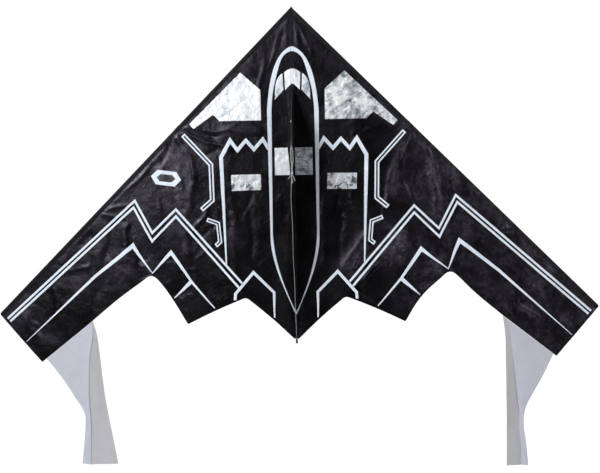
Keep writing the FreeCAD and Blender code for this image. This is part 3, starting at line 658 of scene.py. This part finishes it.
def knot(name, z, size, radius, turned, sides=14):
    """An overhand knot pulled tight, as a tube round a closed path."""
    t = np.linspace(0, 2 * math.pi, 90, endpoint=False)
    path = np.stack([np.sin(t) + 2 * np.sin(2 * t), -1.15 * np.sin(3 * t), np.cos(t) - 2 * np.cos(2 * t)], 1) * size
    c, s = math.cos(turned), math.sin(turned)
    path = path @ np.array([[c, 0, s], [0, 1, 0], [-s, 0, c]]) * (0.9, 0.8, 1.05) + np.array((LEAN, TOW_Y, z))
    ahead = unit(np.roll(path, -1, 0) - np.roll(path, 1, 0))
    side = np.cross(ahead[0], (0.3, 0.5, 0.81))
    turn = np.linspace(0, 2 * math.pi, sides, endpoint=False)
    rings = []
    for place, way in zip(path, ahead):
        side = unit(side - way * (side @ way))
        over = np.cross(way, side)
        rings.append(place + radius * (np.cos(turn)[:, None] * side + np.sin(turn)[:, None] * over))
    return add_mesh(name, np.concatenate(rings), grid_faces(len(path), sides, True, True), LINE)


def make_line():
    # Points of the line in millimetres: (to the right, back, down) from the tow eyelet's middle.
    tow_loop = line_curve("tow_loop_line", [
        [(-1.3, 0.0, 631), (0.6, -1.2, 614), (-2.2, -0.8, 596), (-3.6, -0.4, 570), (-4.5, 0.0, 546.3),
         (4.6, 0.0, 546.0), (5.4, 0.0, 567), (5.6, 0.6, 593), (1.4, 1.2, 613), (1.3, 0.0, 631)]])
    ends = line_curve("tow_line_ends", [
        [(0, 0, 643.5), (-1.2, 0, 652), (0.4, 0, 659), (0.1, 0, 666.3)],
        [(-1.8, 0, 643), (-5.5, 0, 648.5), (-9.5, 0, 652), (-13, 0, 657)],
        [(1.8, 0, 643), (5.5, 0, 650), (8.6, 0, 657.5), (9.6, 0, 666)]])
    big = knot("tow_line_knot", -0.637, 0.00135, 0.0013, 0.3)
    small = knot("tow_line_end_knot", -0.670, 0.0008, 0.00105, 0.9)
    for piece, node in ((tow_loop, "tow_loop"), (ends, "tow_tail"), (big, "tow_knot"), (small, "tow_end_knot")):
        assign(piece, "tow_line", node)


make_line()


# ---------------------------------------------------------------- keel
KEEL_TOP, KEEL_CORNER, KEEL_END = (-0.0022, -0.308), (-0.280, -0.542), (-0.0022, -1.254)
STITCH, PITCH = (0.0026, 0.0006), 0.0036    # a stitch's length and width, and the step from one to the next


def free_edge(z):
    """How far out the keel's free edge stands at a height."""
    upper = (z - KEEL_TOP[1]) / (KEEL_CORNER[1] - KEEL_TOP[1])
    lower = (z - KEEL_END[1]) / (KEEL_CORNER[1] - KEEL_END[1])
    return np.maximum(0.0022 + 0.2778 * np.clip(np.minimum(upper, lower), 0, 1), 0.003)


def lean(y, z):
    """How far the keel's cloth stands to the right of its plane."""
    y, z = np.asarray(y, float), np.asarray(z, float)
    reach = free_edge(z)
    share = np.clip(-y / reach, 0, 1)
    slack = smooth(-z, 0.30, 0.38) * (1 - 0.65 * smooth(-z, 0.66, 1.0))
    bulge = -0.0105 * np.sin(math.pi * np.clip(share, 0, 1)) * np.sqrt(reach / 0.28) * slack
    corner = 0.0105 * share ** 2 * np.exp(-(((-z - 0.55) / 0.12) ** 2))
    ripple = 0.0016 * np.sin(z * 29.0 + 0.7) * share * smooth(-z, 0.6, 0.7) * (reach / 0.28)
    small = 0.0011 * lumps(y * 1.5, z, 0.045, 31, 1.8) * np.sin(math.pi * share) * (reach / 0.28)
    held = smooth(-y, 0.002, 0.02)
    return (bulge + corner + ripple + small) * held


def keel_piece(name, node, half, material, step, rounded_edge=0.0, grow=0.0):
    loops = [corner_points(l) if len(l) < 30 else l for l in outlines(node, 1, (-1, 0, 0))]
    flat, faces, away = filled(loops, step)
    y, z = flat[:, 0], flat[:, 1]
    middle = lean(y, z)
    thick = half * (1 - rounded_edge * (1 - smooth(away, 0.0, 0.0012))) + grow * smooth(away, 0, 0.002)
    right, left = xyz(middle + thick, y, z), xyz(middle - thick, y, z)
    return assign(body_of_sheet(name, right, left, faces, material), "keel", node)


def eyelet(name, node, sides=48):
    low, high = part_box(node)
    y, z = (low[1] + high[1]) / 2, (low[2] + high[2]) / 2
    half_profile = [(0.0, 2.5), (0.7, 2.5), (1.1, 2.62), (1.4, 2.95), (1.5, 3.5), (1.46, 4.2), (1.3, 4.9),
                    (1.05, 5.35), (0.75, 5.5), (0.5, 5.38), (0.42, 5.0), (0.42, 3.2)]
    profile = half_profile + [(-a, r) for a, r in half_profile[:0:-1]]
    shift = float(lean(y, z))
    slope = float(lean(y - 0.004, z) - lean(y + 0.004, z)) / 0.008
    points = []
    for k in range(sides):
        turn = 2 * math.pi * k / sides
        for a, r in profile:
            py, pz = r * MM * math.cos(turn), r * MM * math.sin(turn)
            points.append((shift + a * MM - slope * py, y + py, z + pz))
    faces = [(a, d, c, b) for a, b, c, d in grid_faces(sides, len(profile), True, True)]
    return assign(add_mesh(name, points, faces, EYELET, 60), "keel", node)


def grains(name, body, places, aheads, outs, material, slot, size=STITCH):
    """Stitches: a small grain of thread at each place."""
    length, width = size
    places, aheads, outs = (np.array(v, float) for v in (places, aheads, outs))
    across = np.cross(aheads, outs)
    six = [places - aheads * length / 2, places + aheads * length / 2, places + across * width / 2,
           places - across * width / 2, places + outs * width * 0.55, places - outs * width * 0.4]
    points = np.stack(six, 1).reshape(-1, 3)
    pattern = np.array([(0, 2, 4), (2, 1, 4), (1, 3, 4), (3, 0, 4), (2, 0, 5), (1, 2, 5), (3, 1, 5), (0, 3, 5)])
    faces = (pattern[None] + 6 * np.arange(len(places))[:, None, None]).reshape(-1, 3)
    return assign(add_mesh(name, points, faces, material, 80), body)


def spaced(route, pitch, closed=False):
    """Evenly spaced places along a route, with the direction of travel."""
    route = np.array(route, float)
    if closed:
        route = np.concatenate([route, route[:1]])
    steps = np.linalg.norm(np.diff(route, axis=0), axis=1)
    total = np.concatenate([[0], np.cumsum(steps)])
    where = np.arange(pitch / 2, total[-1], pitch)
    k = np.clip(np.searchsorted(total, where) - 1, 0, len(steps) - 1)
    t = ((where - total[k]) / np.maximum(steps[k], 1e-12))[:, None]
    return route[k] * (1 - t) + route[k + 1] * t, (route[k + 1] - route[k]) / np.maximum(steps[k], 1e-12)[:, None]


def inset_line(route, shift, closed=False):
    """The route moved to its left as it is walked, with mitred corners."""
    route = np.array(route, float)
    n, moved = len(route), []
    for k in range(n):
        before = unit(route[k] - route[k - 1] if closed or k > 0 else route[1] - route[0])
        after = unit(route[(k + 1) % n] - route[k] if closed or k < n - 1 else route[k] - route[k - 1])
        normal = np.array([-(before[1] + after[1]), before[0] + after[0]])
        normal /= max(np.hypot(*normal), 1e-9)
        opening = max(normal @ np.array([-after[1], after[0]]), 0.35)
        moved.append(route[k] + normal * shift / opening)
    return np.array(moved)


def inset_loop(loop, shift):
    """A closed outline moved inwards."""
    area = sum(a[0] * b[1] - a[1] * b[0] for a, b in zip(loop, np.roll(loop, -1, 0)))
    return inset_line(loop if area > 0 else loop[::-1], shift, True)


def sail_stitches(name, body, routes, material, slot, front=-0.0008, back=False, h=0.0008):
    """Rows of stitches on the sail, from routes in its plane: (points, closed)."""
    flat, ways = (np.concatenate(v) for v in zip(*(spaced(route, PITCH, closed) for route, closed in routes)))
    clear = np.abs(flat[:, 0]) > FOLD_OUT + 0.003
    flat, ways = flat[clear], ways[clear]

    def place(x, z):
        px, pz = pulled(x, z)
        return xyz(px, front - lift(x, z), pz)

    here = place(*flat.T)
    ahead = unit(place(*(flat + h * ways).T) - here)
    out = unit(np.cross(ahead, np.cross((0.0, 1.0 if back else -1.0, 0.0), ahead)))
    return grains(name, body, here, ahead, out, material, slot)


def make_keel():
    panel = keel_piece("keel_cloth", "keel_panel", 0.0004, KEEL, 0.006)
    binding = keel_piece("keel_edge_binding", "keel_binding", 0.0009, BINDING, 0.0035, 0.5)
    second_material(binding, EDGE_TAPE, lambda face: face.center.z > KEEL_CORNER[1] + 0.004)
    patch = keel_piece("keel_corner_patch", "keel_patch", 0.0007, TAPE, 0.004, 0.0, 0.0002)
    rings = [eyelet("tow_eyelet_ring", "tow_eyelet"), eyelet("upper_eyelet_ring", "upper_eyelet")]
    places, aheads, outs = [], [], []
    for a, b in ((KEEL_TOP, KEEL_CORNER), (KEEL_CORNER, KEEL_END)):
        a, b = np.array(a), np.array(b)
        way = unit(b - a)
        inward = np.array([-way[1], way[0]])
        row = [a + inward * 0.0065 + way * 0.02, b + inward * 0.0065 - way * 0.02]
        p, w = spaced(row, PITCH)
        for side in (-1, 1):
            places.append(xyz(lean(*p.T) + side * 0.0010, *p.T))
            aheads.append(xyz(np.zeros(len(p)), *w.T))
            outs.append(np.tile((float(side), 0.0, 0.0), (len(p), 1)))
    stitches = grains("keel_stitches", "keel", *(np.concatenate(v) for v in (places, aheads, outs)), BLACK_THREAD,
                      "webbing")


make_keel()


# ---------------------------------------------------------------- wings
def leading_edge_spot(along, inset):
    """(out, z) at a distance along the leading edge and in from it."""
    return EDGE_OUT * along - EDGE_FALL * inset, -EDGE_FALL * along - EDGE_OUT * inset


def sleeve_shell(name, side, start, end, wall=0.0006):
    """The pocket of the edge rod: a closed shell with puckers along its seam."""
    profile = np.array([(0.15, -0.45), (-0.1, 0.3), (0.05, 1.5), (0.35, 3.6), (1.1, 6.0), (2.8, 8.0), (5.0, 8.7),
                        (7.3, 8.1), (9.6, 6.3), (12.2, 3.8), (14.6, 1.9), (16.4, 1.15), (18.4, 1.0)]) * MM
    count, n = max(2, int((end - start) / 0.005)), len(profile)
    along = np.linspace(start, end, count)[:, None] * np.ones(n)
    inset, rise = profile[:, 0] * np.ones((count, 1)), profile[:, 1] * np.ones((count, 1))
    slack = np.array([3 <= i <= 10 for i in range(n)], float)
    near_seam = np.array([1.0 if 8 <= i <= 11 else 0.2 for i in range(n)])
    fade = smooth(np.minimum(along - start, end - along), 0.0, 0.02)
    pucker = 0.00042 * np.sin(along * 260.0 + 2.0 * np.sin(along * 31.0)) * near_seam
    sag = 0.0006 * lumps(along, inset * 3, 0.035, 41) * slack
    x, z = leading_edge_spot(along, inset)
    y = np.minimum(rise + (pucker + sag) * fade - lift(x, z) * smooth(inset, 0.009, 0.016), 0.0088)
    run = unit(np.gradient(profile, axis=0))
    x2, z2 = leading_edge_spot(along, inset + wall * run[:, 1])
    sign = -1 if side == "left" else 1
    outer, inner = xyz(sign * x, y, z).reshape(-1, 3), xyz(sign * x2, y - wall * run[:, 0], z2).reshape(-1, 3)
    faces = np.array(grid_faces(count, n))[:, ::sign]
    piece = body_of_sheet(name, outer, inner, faces, SAIL, 60)
    return assign(piece, side + "_wing", side + "_leading_edge_sleeve")


def trailing_route(loop):
    """The part of a wing's outline that is its trailing edge, from the middle outwards."""
    edge = [tuple(p) for p in loop]
    first = min(range(len(edge)), key=lambda k: abs(edge[k][0]) + (edge[k][1] - MIDDLE[1]) ** 2 * 50)
    ways = []
    for step in (1, -1):
        run, k = [edge[first]], first
        while abs(run[-1][0]) < SEAM_OUT - 1e-4 and len(run) < len(edge):
            k = (k + step) % len(edge)
            run.append(edge[k])
        ways.append(run)
    return max(ways, key=lambda run: -max(p[1] for p in run[1:-1]) if len(run) > 2 else -9)


def clear_of_tape(loop):
    """Pieces that reach the centre stop just short of the wing's folding line."""
    return np.array([(math.copysign(max(abs(x), FOLD_OUT + 0.00035), x), z) for x, z in loop])


# Corners of the sail that are rounded, with the radius and how much deeper they are drawn first.
ROUNDED = [(NOTCH, 0.030, 0.0105), (CENTRE_NOTCH, 0.014, 0.004), (INNER_POINT, 0.005, 0.0)]
# Pale strips: piece, end of its CAD node's name, and how far they are trimmed.
STRIPS = [("double_chevron_strips", "double_chevron", 0.0011), ("single_chevron_strips", "single_chevron", 0.0),
          ("engine_line", "engine_strip", 0.0), ("fuselage_line", "fuselage_strip", 0.0007),
          ("upper_bracket_line", "upper_bracket", 0.0), ("lower_bracket_line", "lower_bracket", 0.0),
          ("tail_line", "tail_strip", 0.0)]


def make_wing(side):
    sign, body = (-1 if side == "left" else 1), side + "_wing"

    def at(*point):
        return sign * point[0], point[1]

    def sewn(label, node, material, slot, step, *rest, **settings):
        return sewn_on(f"{side}_{label}", node and f"{side}_{node}", body, material, slot, step, *rest, **settings)

    outline = corner_points(outlines(side + "_main_panel")[0])
    for corner, radius, deeper in ROUNDED:
        outline = rounded(outline, at(*corner), radius, deeper)
    tip_loop = rounded(corner_points(outlines(side + "_tip_panel")[0]), at(*TIP), 0.007)
    panels = [sewn(label, node, SAIL, "black_ripstop", step, -0.0004, 0.0004, 0.0, loops=[loop])
              for label, node, step, loop in (("sail", "main_panel", 0.005, outline),
                                              ("sail_tip", "tip_panel", 0.0055, tip_loop))]
    for panel in panels:
        # Each panel's points carry their share of painted sheen, read by the sail's material.
        places = np.array([v.co for v in panel.data.vertices])
        attribute = panel.data.attributes.new("painted_sheen", "FLOAT", "POINT")
        attribute.data.foreach_set("value", painted_sheen(places[:, 0], places[:, 2]).astype(np.float32))
        second_material(panel, EDGE_BAND, lambda face: edge_inset(face.center.x, face.center.z) < SLEEVE_WIDTH
                        and face.center.z < -0.03)

    # The hem is turned to the back, as far as the tail's strip.
    edge = trailing_route(outline)
    edge = np.array((edge[:-1] if abs(edge[-1][0]) > 0.7 else edge) + [at(*TAIL_CORNER)])
    outer, inner = inset_line(edge, 0.0004 * sign), inset_line(edge, 0.0098 * sign)
    inner[0][0] = outer[0][0] = sign * (FOLD_OUT + 0.0002)
    behind = (0.004, 0.00035, 0.0011, 0.0)      # step, front, back and puff of what is sewn on behind
    hem = sewn("hem", "trailing_hem", SAIL, "black_ripstop", *behind, loops=[np.concatenate([outer, inner[::-1]])])
    patches = [sewn(label, node, TAPE, "webbing", *behind) for label, node in (
        ("nose_reinforcement", "nose_patch"), ("spreader_reinforcement", "spreader_patch"))]

    # The spreader hooks on between the two parts of the sleeve.
    half, nose_start, tip_end = 0.020, 0.046, EDGE_LENGTH - 0.030
    spread = (SPREADER_DOWN - SPAR_INSET * EDGE_OUT) / EDGE_FALL
    sleeves = [sleeve_shell(side + "_edge_sleeve_upper", side, nose_start, spread - half),
               sleeve_shell(side + "_edge_sleeve_lower", side, spread + half, tip_end)]

    # Silver film and pale strips on the front.
    # The right wing's foils are darker copies of the same film: painted shade and darker painted reflections.
    wing_foil, square_foil, intake_foil = ((SILVER_BRIGHT, SILVER_BRIGHT, SILVER_MOTTLED) if side == "left" else
                                           (SILVER_BANDED, SILVER_PAINTED_SHADE, SILVER_BLOTCHED))
    trims, film = [], []
    for label, node, material, step, crumple in (
            ("wing_foil", "silver_wing_panel", wing_foil, 0.0028, 0.0006),
            ("intake_foil", "silver_intake", intake_foil, 0.0025, 0.0007),
            ("square_foil", "silver_square", square_foil, 0.0025, 0.0006),
            ("side_pane_foil", "cockpit_side_pane", SILVER_PANE, 0.0022, 0.0006),
            ("front_pane_foil", "cockpit_front_pane", SILVER_BRIGHT, 0.0022, 0.0006)):
        loops = [clear_of_tape(l) for l in cut(f"{side}_{node}")]
        if (side, node) == ("left", "silver_square"):  # its inner side is cut on a slant
            loops = [np.array([(-0.0225 if z > -0.6 else -0.0125, z) if x > -0.03 else (x, z) for x, z in loops[0]])]
        trims.append(sewn(label, node, material, "silver_foil", step, crumple=crumple, loops=loops))
        film.append(loops[0])
    for label, node, trim in STRIPS:
        loops = cut(f"{side}_{node}")
        if trim:
            loops = [inset_loop(l, trim) for l in loops]
        loops = [clear_of_tape(l) for l in loops]
        trims.append(sewn(label, node, WHITE, "pale_ripstop", 0.0032, loops=loops, puff=0.0003))
    if side == "left":
        emblem = cut("left_emblem_patch")[0]
        trims.append(sewn("emblem_foil", "emblem_patch", WHITE, "silver_foil", 0.003, loops=[emblem], crumple=0.0001))
        film.append(emblem)
        middle = emblem.mean(0)
        trims.append(sewn("emblem_inlay", None, INLAY, "silver_foil", 0.003, -0.0014, -0.0009, 0.0002,
                          loops=[middle + (emblem - middle) * (0.62, 0.5)]))

    # Stitching.
    sail_stitches(side + "_foil_stitches", body, [(inset_loop(l, 0.0022), True) for l in film], WHITE_THREAD,
                  "white_line", -0.00105)
    seam = [at(*leading_edge_spot(a, SLEEVE_WIDTH + 0.001)) for a in (0.05, spread - half, spread + half, tip_end)]
    hem_rows = [(inset_line(edge, 0.0025 * sign), False), (inset_line(edge, 0.0082 * sign), False)]
    top, foot = SEAM_OUT * TIP[1] / TIP[0] - 0.03, -1.170
    join_rows = [([at(SEAM_OUT + d, top), at(SEAM_OUT + d, foot)], False) for d in (-0.0028, 0.0028)]
    sail_stitches(side + "_sail_stitches_front", body, [(seam[:2], False), (seam[2:], False)] + hem_rows + join_rows,
                  BLACK_THREAD, "webbing", -0.0005)
    sail_stitches(side + "_sail_stitches_back", body, hem_rows + join_rows, BLACK_THREAD, "webbing", 0.0012, True)
    return panels[0], [panels[1], hem] + patches + sleeves + trims


# ---------------------------------------------------------------- spine
def lofted(name, rows, material, node):
    """A closed piece through rows of points that each go right round it."""
    rows = np.array(rows, float)
    n, m = rows.shape[:2]
    faces = grid_faces(n, m, True) + [tuple(range(m))[::-1], tuple(range((n - 1) * m, n * m))]
    return assign(add_mesh(name, rows.reshape(-1, 3), faces, material, 50), "spine", node)


def over_tape(name, top, bottom, material, fall=0.0, half=0.0049):
    """The middle of the front pane or of the fuselage strip, over the tape."""
    loop = np.array([(-half, bottom), (0.0, bottom - fall), (half, bottom), (half, top), (0.0, top - fall),
                     (-half, top)])
    flat, faces, away = filled([loop], 0.0018)
    x, z = flat[:, 0], flat[:, 1]
    crease = 0.00005 * lumps(x, z, 0.006, 8) * smooth(away, 0.0, 0.002)
    front, back = xyz(x, -0.00060 - 0.00003 * np.cos(x * 280) - crease, z), xyz(x, np.full(len(x), -0.00050), z)
    return assign(body_of_sheet(name, front, back, faces, material), "spine")


def make_spine():
    section = np.array([(-4.97, 0.3), (-4.97, -0.38), (-4.5, -0.44), (-2.0, -0.47), (0, -0.48), (2.0, -0.47),
                        (4.5, -0.44), (4.97, -0.38), (4.97, 0.3), (2.4, 0.38), (0, 0.4), (-2.4, 0.38)]) * MM
    rows = []
    for down in np.arange(0.005, 1.2605, 0.004):
        ripple = 0.00005 * math.sin(down * 310.0 + 2 * math.sin(down * 40.0))
        rows.append([(x, y + (ripple if 2 <= i <= 6 else 0.0), -down) for i, (x, y) in enumerate(section)])
    lofted("spine_tape", rows, EDGE_BAND, "centre_tape")
    places = [(x, -0.0005, -down) for x in (-0.0033, 0.0033) for down in np.arange(0.02, 1.25, PITCH)]
    ahead, out = (np.tile(way, (len(places), 1)) for way in ((0.0, 0.0, -1.0), (0.0, -1.0, 0.0)))
    grains("spine_stitches", "spine", places, ahead, out, BLACK_THREAD, "webbing")

    arch = [(-4.7, 0.55), (-4.3, 0.75), (-4.0, 1.6), (-3.98, 4.7)]
    arch += [(-4.0 * math.cos(a), 4.75 + 4.0 * math.sin(a)) for a in np.linspace(0.25, math.pi - 0.25, 9)]
    arch = np.array(arch + [(3.98, 4.7), (4.0, 1.6), (4.3, 0.75), (4.7, 0.55)])
    inner = arch * (0.86, 0.93)
    inner[[0, -1]] = arch[[0, -1]] - (0, 0.13)
    rows = []
    for down in np.arange(0.020, 1.2632, 0.004):
        wander = 1.0 - 0.02 * (1 + math.sin(down * 83.0 + 3 * math.sin(down * 9.0)))
        gather = 0.12 * math.sin(down * 420.0)
        row = []
        for x, y in np.concatenate([arch, inner[::-1]]):
            scale = wander if y > 1.2 else 1.0
            rise = gather if y < 1.0 and abs(x) < 4.6 else 0.0
            row.append((x * MM * scale, (0.4 + (y - 0.4) * scale + rise) * MM, -down))
        rows.append(row)
    lofted("spine_pocket", rows, SAIL, "spine_sleeve")
    over_tape("front_pane_middle", -0.2340, -0.2915, SILVER_BRIGHT)
    over_tape("fuselage_line_crown", -0.1497, -0.1683, WHITE)
    over_tape("fuselage_line_foot", -1.1490, -1.1630, WHITE, 0.006)


# ---------------------------------------------------------------- tails
def through(points, steps):
    """A smooth curve through points, steps to each run."""
    p = np.concatenate([2 * points[:1] - points[1:2], points, 2 * points[-1:] - points[-2:-1]])
    t = np.linspace(0, 1, steps, endpoint=False).reshape((-1,) + (1,) * (p.ndim - 1))
    runs = [0.5 * (2 * p[k] + (p[k + 1] - p[k - 1]) * t + (2 * p[k - 1] - 5 * p[k] + 4 * p[k + 1] - p[k + 2]) * t ** 2
                   + (3 * p[k] - p[k - 1] - 3 * p[k + 1] + p[k + 2]) * t ** 3) for k in range(1, len(p) - 2)]
    return np.concatenate(runs + [p[-2:-1]])


# For each tail: rows from the sewn edge to the foot, in millimetres, with the outer edge, the fold and the inner edge
# as (x, down); the depths of a row's points from its outer edge inwards; how far the fold is turned under.
TAILS = {
    "left": ([((-962, 1324.5), (-790, 1188.5), (-781, 1182)), ((-905, 1400), (-787, 1250), (-766, 1245)),
              ((-862, 1468), (-797, 1330), (-758, 1325)), ((-823, 1533), (-802, 1462), (-745, 1460)),
              ((-819, 1590), (-797, 1560), (-731, 1549)), ((-826, 1662), (-796, 1648), (-714, 1637)),
              ((-835, 1732), (-801, 1734), (-697, 1736))],
             (3.0, -2.0, -10.0, -7.5, 3.0, 13.0), 2.5),
    "right": ([((962, 1324.5), (800, 1198), (781, 1182)), ((930, 1400), (813, 1300), (790, 1265)),
               ((893, 1472), (822, 1400), (790, 1360)), ((862, 1533), (832, 1500), (790, 1470)),
               ((853, 1593), (840, 1585), (790, 1570)), ((861, 1669), (842, 1670), (789, 1660)),
               ((868, 1750), (838, 1750), (787, 1750))],
              (10.0, 8.0, -3.0, -4.0, 5.5, 2.0, -5.0, -11.0), 2.0)}


def make_tail(side):
    left = side == "left"
    source, depths, under = TAILS[side]
    rows = []
    for k, (outer, fold, inner) in enumerate(np.array(source, float)):
        grown = float(smooth(k / 6.0, 0.0, 0.5))
        turned = fold + np.array([-under * grown, 0.0])
        places = [outer, outer * 0.5 + fold * 0.5, fold, turned, turned * 0.45 + inner * 0.55, inner]
        if not left:  # a layer folded behind
            hidden = outer + np.array([-0.62 * (outer[0] - inner[0]) * grown, 0.0])
            places = [hidden, outer * 0.35 + hidden * 0.65] + places
        rows.append([(x, depth * grown, -down) for (x, down), depth in zip(places, depths)])
    grid = np.array(rows)
    start_lift = np.array([float(lift(x * MM, z * MM)) / MM for x, _, z in grid[0]])
    for k, row in enumerate(grid):
        row[:, 1] -= start_lift * (1 - float(smooth(k / 6.0, 0.0, 0.6)))
    fine = through(through(grid, 16).transpose(1, 0, 2), 14).transpose(1, 0, 2) * MM
    n, m = fine.shape[:2]
    down_share, across = np.linspace(0, 1, n)[:, None], np.linspace(0, 1, m)[None, :]
    held = smooth(down_share, 0.0, 0.12)
    flutter = 0.0024 * np.sin(fine[:, :, 2] * 21.0 + 2.0 * across + (0.0 if left else 1.7)) * held
    small = 0.0016 * lumps(fine[:, :, 0], fine[:, :, 2], 0.038, 51 if left else 52, 2.6) * held
    fine[:, :, 1] += flutter + small
    normal = np.cross(np.gradient(fine, axis=1), np.gradient(fine, axis=0))
    normal /= np.maximum(np.linalg.norm(normal, axis=2), 1e-12)[:, :, None]
    hem = np.maximum(0.00045 * (1 - smooth(np.minimum(across, 1 - across), 0.014, 0.03)),
                     0.00045 * (1 - smooth(1 - down_share, 0.008, 0.016)))
    top_seam = 0.0004 * (1 - smooth(down_share, 0.012, 0.02))
    half = (0.00028 + np.maximum(hem, top_seam))[:, :, None]
    faces = [(a, d, c, b) for a, b, c, d in grid_faces(n, m)]
    piece = body_of_sheet(side + "_tail_cloth", (fine + normal * half).reshape(-1, 3),
                          (fine - normal * half).reshape(-1, 3), faces, TAIL, 60)
    # The part from the fold to the inner edge takes the darker copy of the cloth: painted shade.
    turn = 14 * (len(places) - 3)
    second_material(piece, TAIL_SHADED,
                    lambda face: face.index < 2 * len(faces) and face.index % (m - 1) >= turn)
    mesh = bmesh.new()
    mesh.from_mesh(piece.data)
    bmesh.ops.recalc_face_normals(mesh, faces=mesh.faces)
    mesh.to_mesh(piece.data)
    mesh.free()
    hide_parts(side + "_tail")
    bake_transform(piece)
    sewn, ways = spaced(fine[3], 0.0034)
    grains(side + "_tail_stitches", side + "_wing", sewn + (0, -0.0010, 0), ways,
           np.tile((0.0, -1.0, 0.0), (len(sewn), 1)), WHITE_THREAD, "white_line", (0.0024, 0.0006))


# ---------------------------------------------------------------- rods, caps and hooks
def dress(node, material, bevel):
    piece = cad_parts[node]
    piece.data.materials.clear()
    piece.data.materials.append(material)
    modifier = piece.modifiers.new("soft edges", "BEVEL")
    modifier.width = bevel
    modifier.segments = 3
    modifier.limit_method = "ANGLE"
    modifier.angle_limit = math.radians(35)


wings = {side: make_wing(side) for side in ("left", "right")}
make_spine()
for side, (sail, others) in wings.items():
    make_tail(side)
for material, bevel, nodes in (
        (ROD, 0.0003, ("spine_spar", "spreader_rod", "left_leading_edge_spar", "right_leading_edge_spar")),
        (VINYL, 0.0003, ("nose_cap", "tail_cap", "left_edge_spar_caps", "right_edge_spar_caps")),
        (MOULDED, 0.0006, ("left_spreader_hook", "right_spreader_hook"))):
    for node in nodes:
        dress(node, material, bevel)


# ---------------------------------------------------------------- stage
def make_light(name, place, aim, size, power, colour):
    data = bpy.data.lights.new(name, "AREA")
    data.size = size
    data.energy = power
    data.color = colour
    light = put(name, data)
    light.location = place
    light.rotation_euler = (Vector(aim) - Vector(place)).to_track_quat("-Z", "Y").to_euler()


def make_world():
    """Soft light from behind the camera's side, and plain white where the camera looks past the kite."""
    world = bpy.data.worlds.new("studio")
    bpy.context.scene.world = world
    world.use_nodes = True
    tree = world.node_tree
    tree.nodes.clear()
    place = add_node(tree, "TexCoord", {}).outputs["Generated"]
    split = add_node(tree, "SeparateXYZ", {0: place})
    level = add_node(tree, "MapRange", {"From Min": -1.0, "From Max": 1.0, "Value": split.outputs["Y"]})
    ramp = add_ramp(tree, level.outputs[0], (0.05, (0.03, 0.03, 0.034)), (0.75, (0.95, 0.96, 1.0)))
    lighting = add_node(tree, "Background", {"Strength": 0.62, "Color": ramp})
    white = add_node(tree, "Background", {"Color": (1.0, 1.0, 1.0, 1.0), "Strength": 1.05})
    path = add_node(tree, "LightPath", {})
    mix = add_node(tree, "MixShader", {0: path.outputs["Is Camera Ray"], 1: lighting.outputs[0], 2: white.outputs[0]})
    add_node(tree, "OutputWorld", {"Surface": mix.outputs[0]})


FLOOR_RADIUS, FLOOR_Z, FLOOR_SIDES = 3.0, -2.4, 96
ring = [(FLOOR_RADIUS * math.cos(t), FLOOR_RADIUS * math.sin(t), FLOOR_Z)
        for t in np.linspace(0, 2 * math.pi, FLOOR_SIDES, endpoint=False)]
add_mesh("floor", ring, [range(FLOOR_SIDES)], FLOOR)
make_world()
# Name, place, height of what it is aimed at, size, power and colour.
for name, place, aim, *rest in (
        ("key", (-2.4, -3.0, 1.4), -0.8, 1.3, 136.0, (0.95, 0.975, 1.0)),
        ("softbox", (-1.9, -4.2, 0.25), -0.8, 1.2, 26.0, (1.0, 1.0, 1.0)),
        ("fill", (2.8, -2.8, 0.6), -0.7, 1.6, 42.0, (1.0, 0.96, 0.92)),
        ("behind", (0.6, 3.2, 0.8), -0.7, 2.0, 90.0, (1.0, 1.0, 1.0))):
    make_light(name, place, (0.0, 0.0, aim), *rest)

settings = bpy.context.scene.view_settings
settings.view_transform = "Standard"
settings.look = "None"
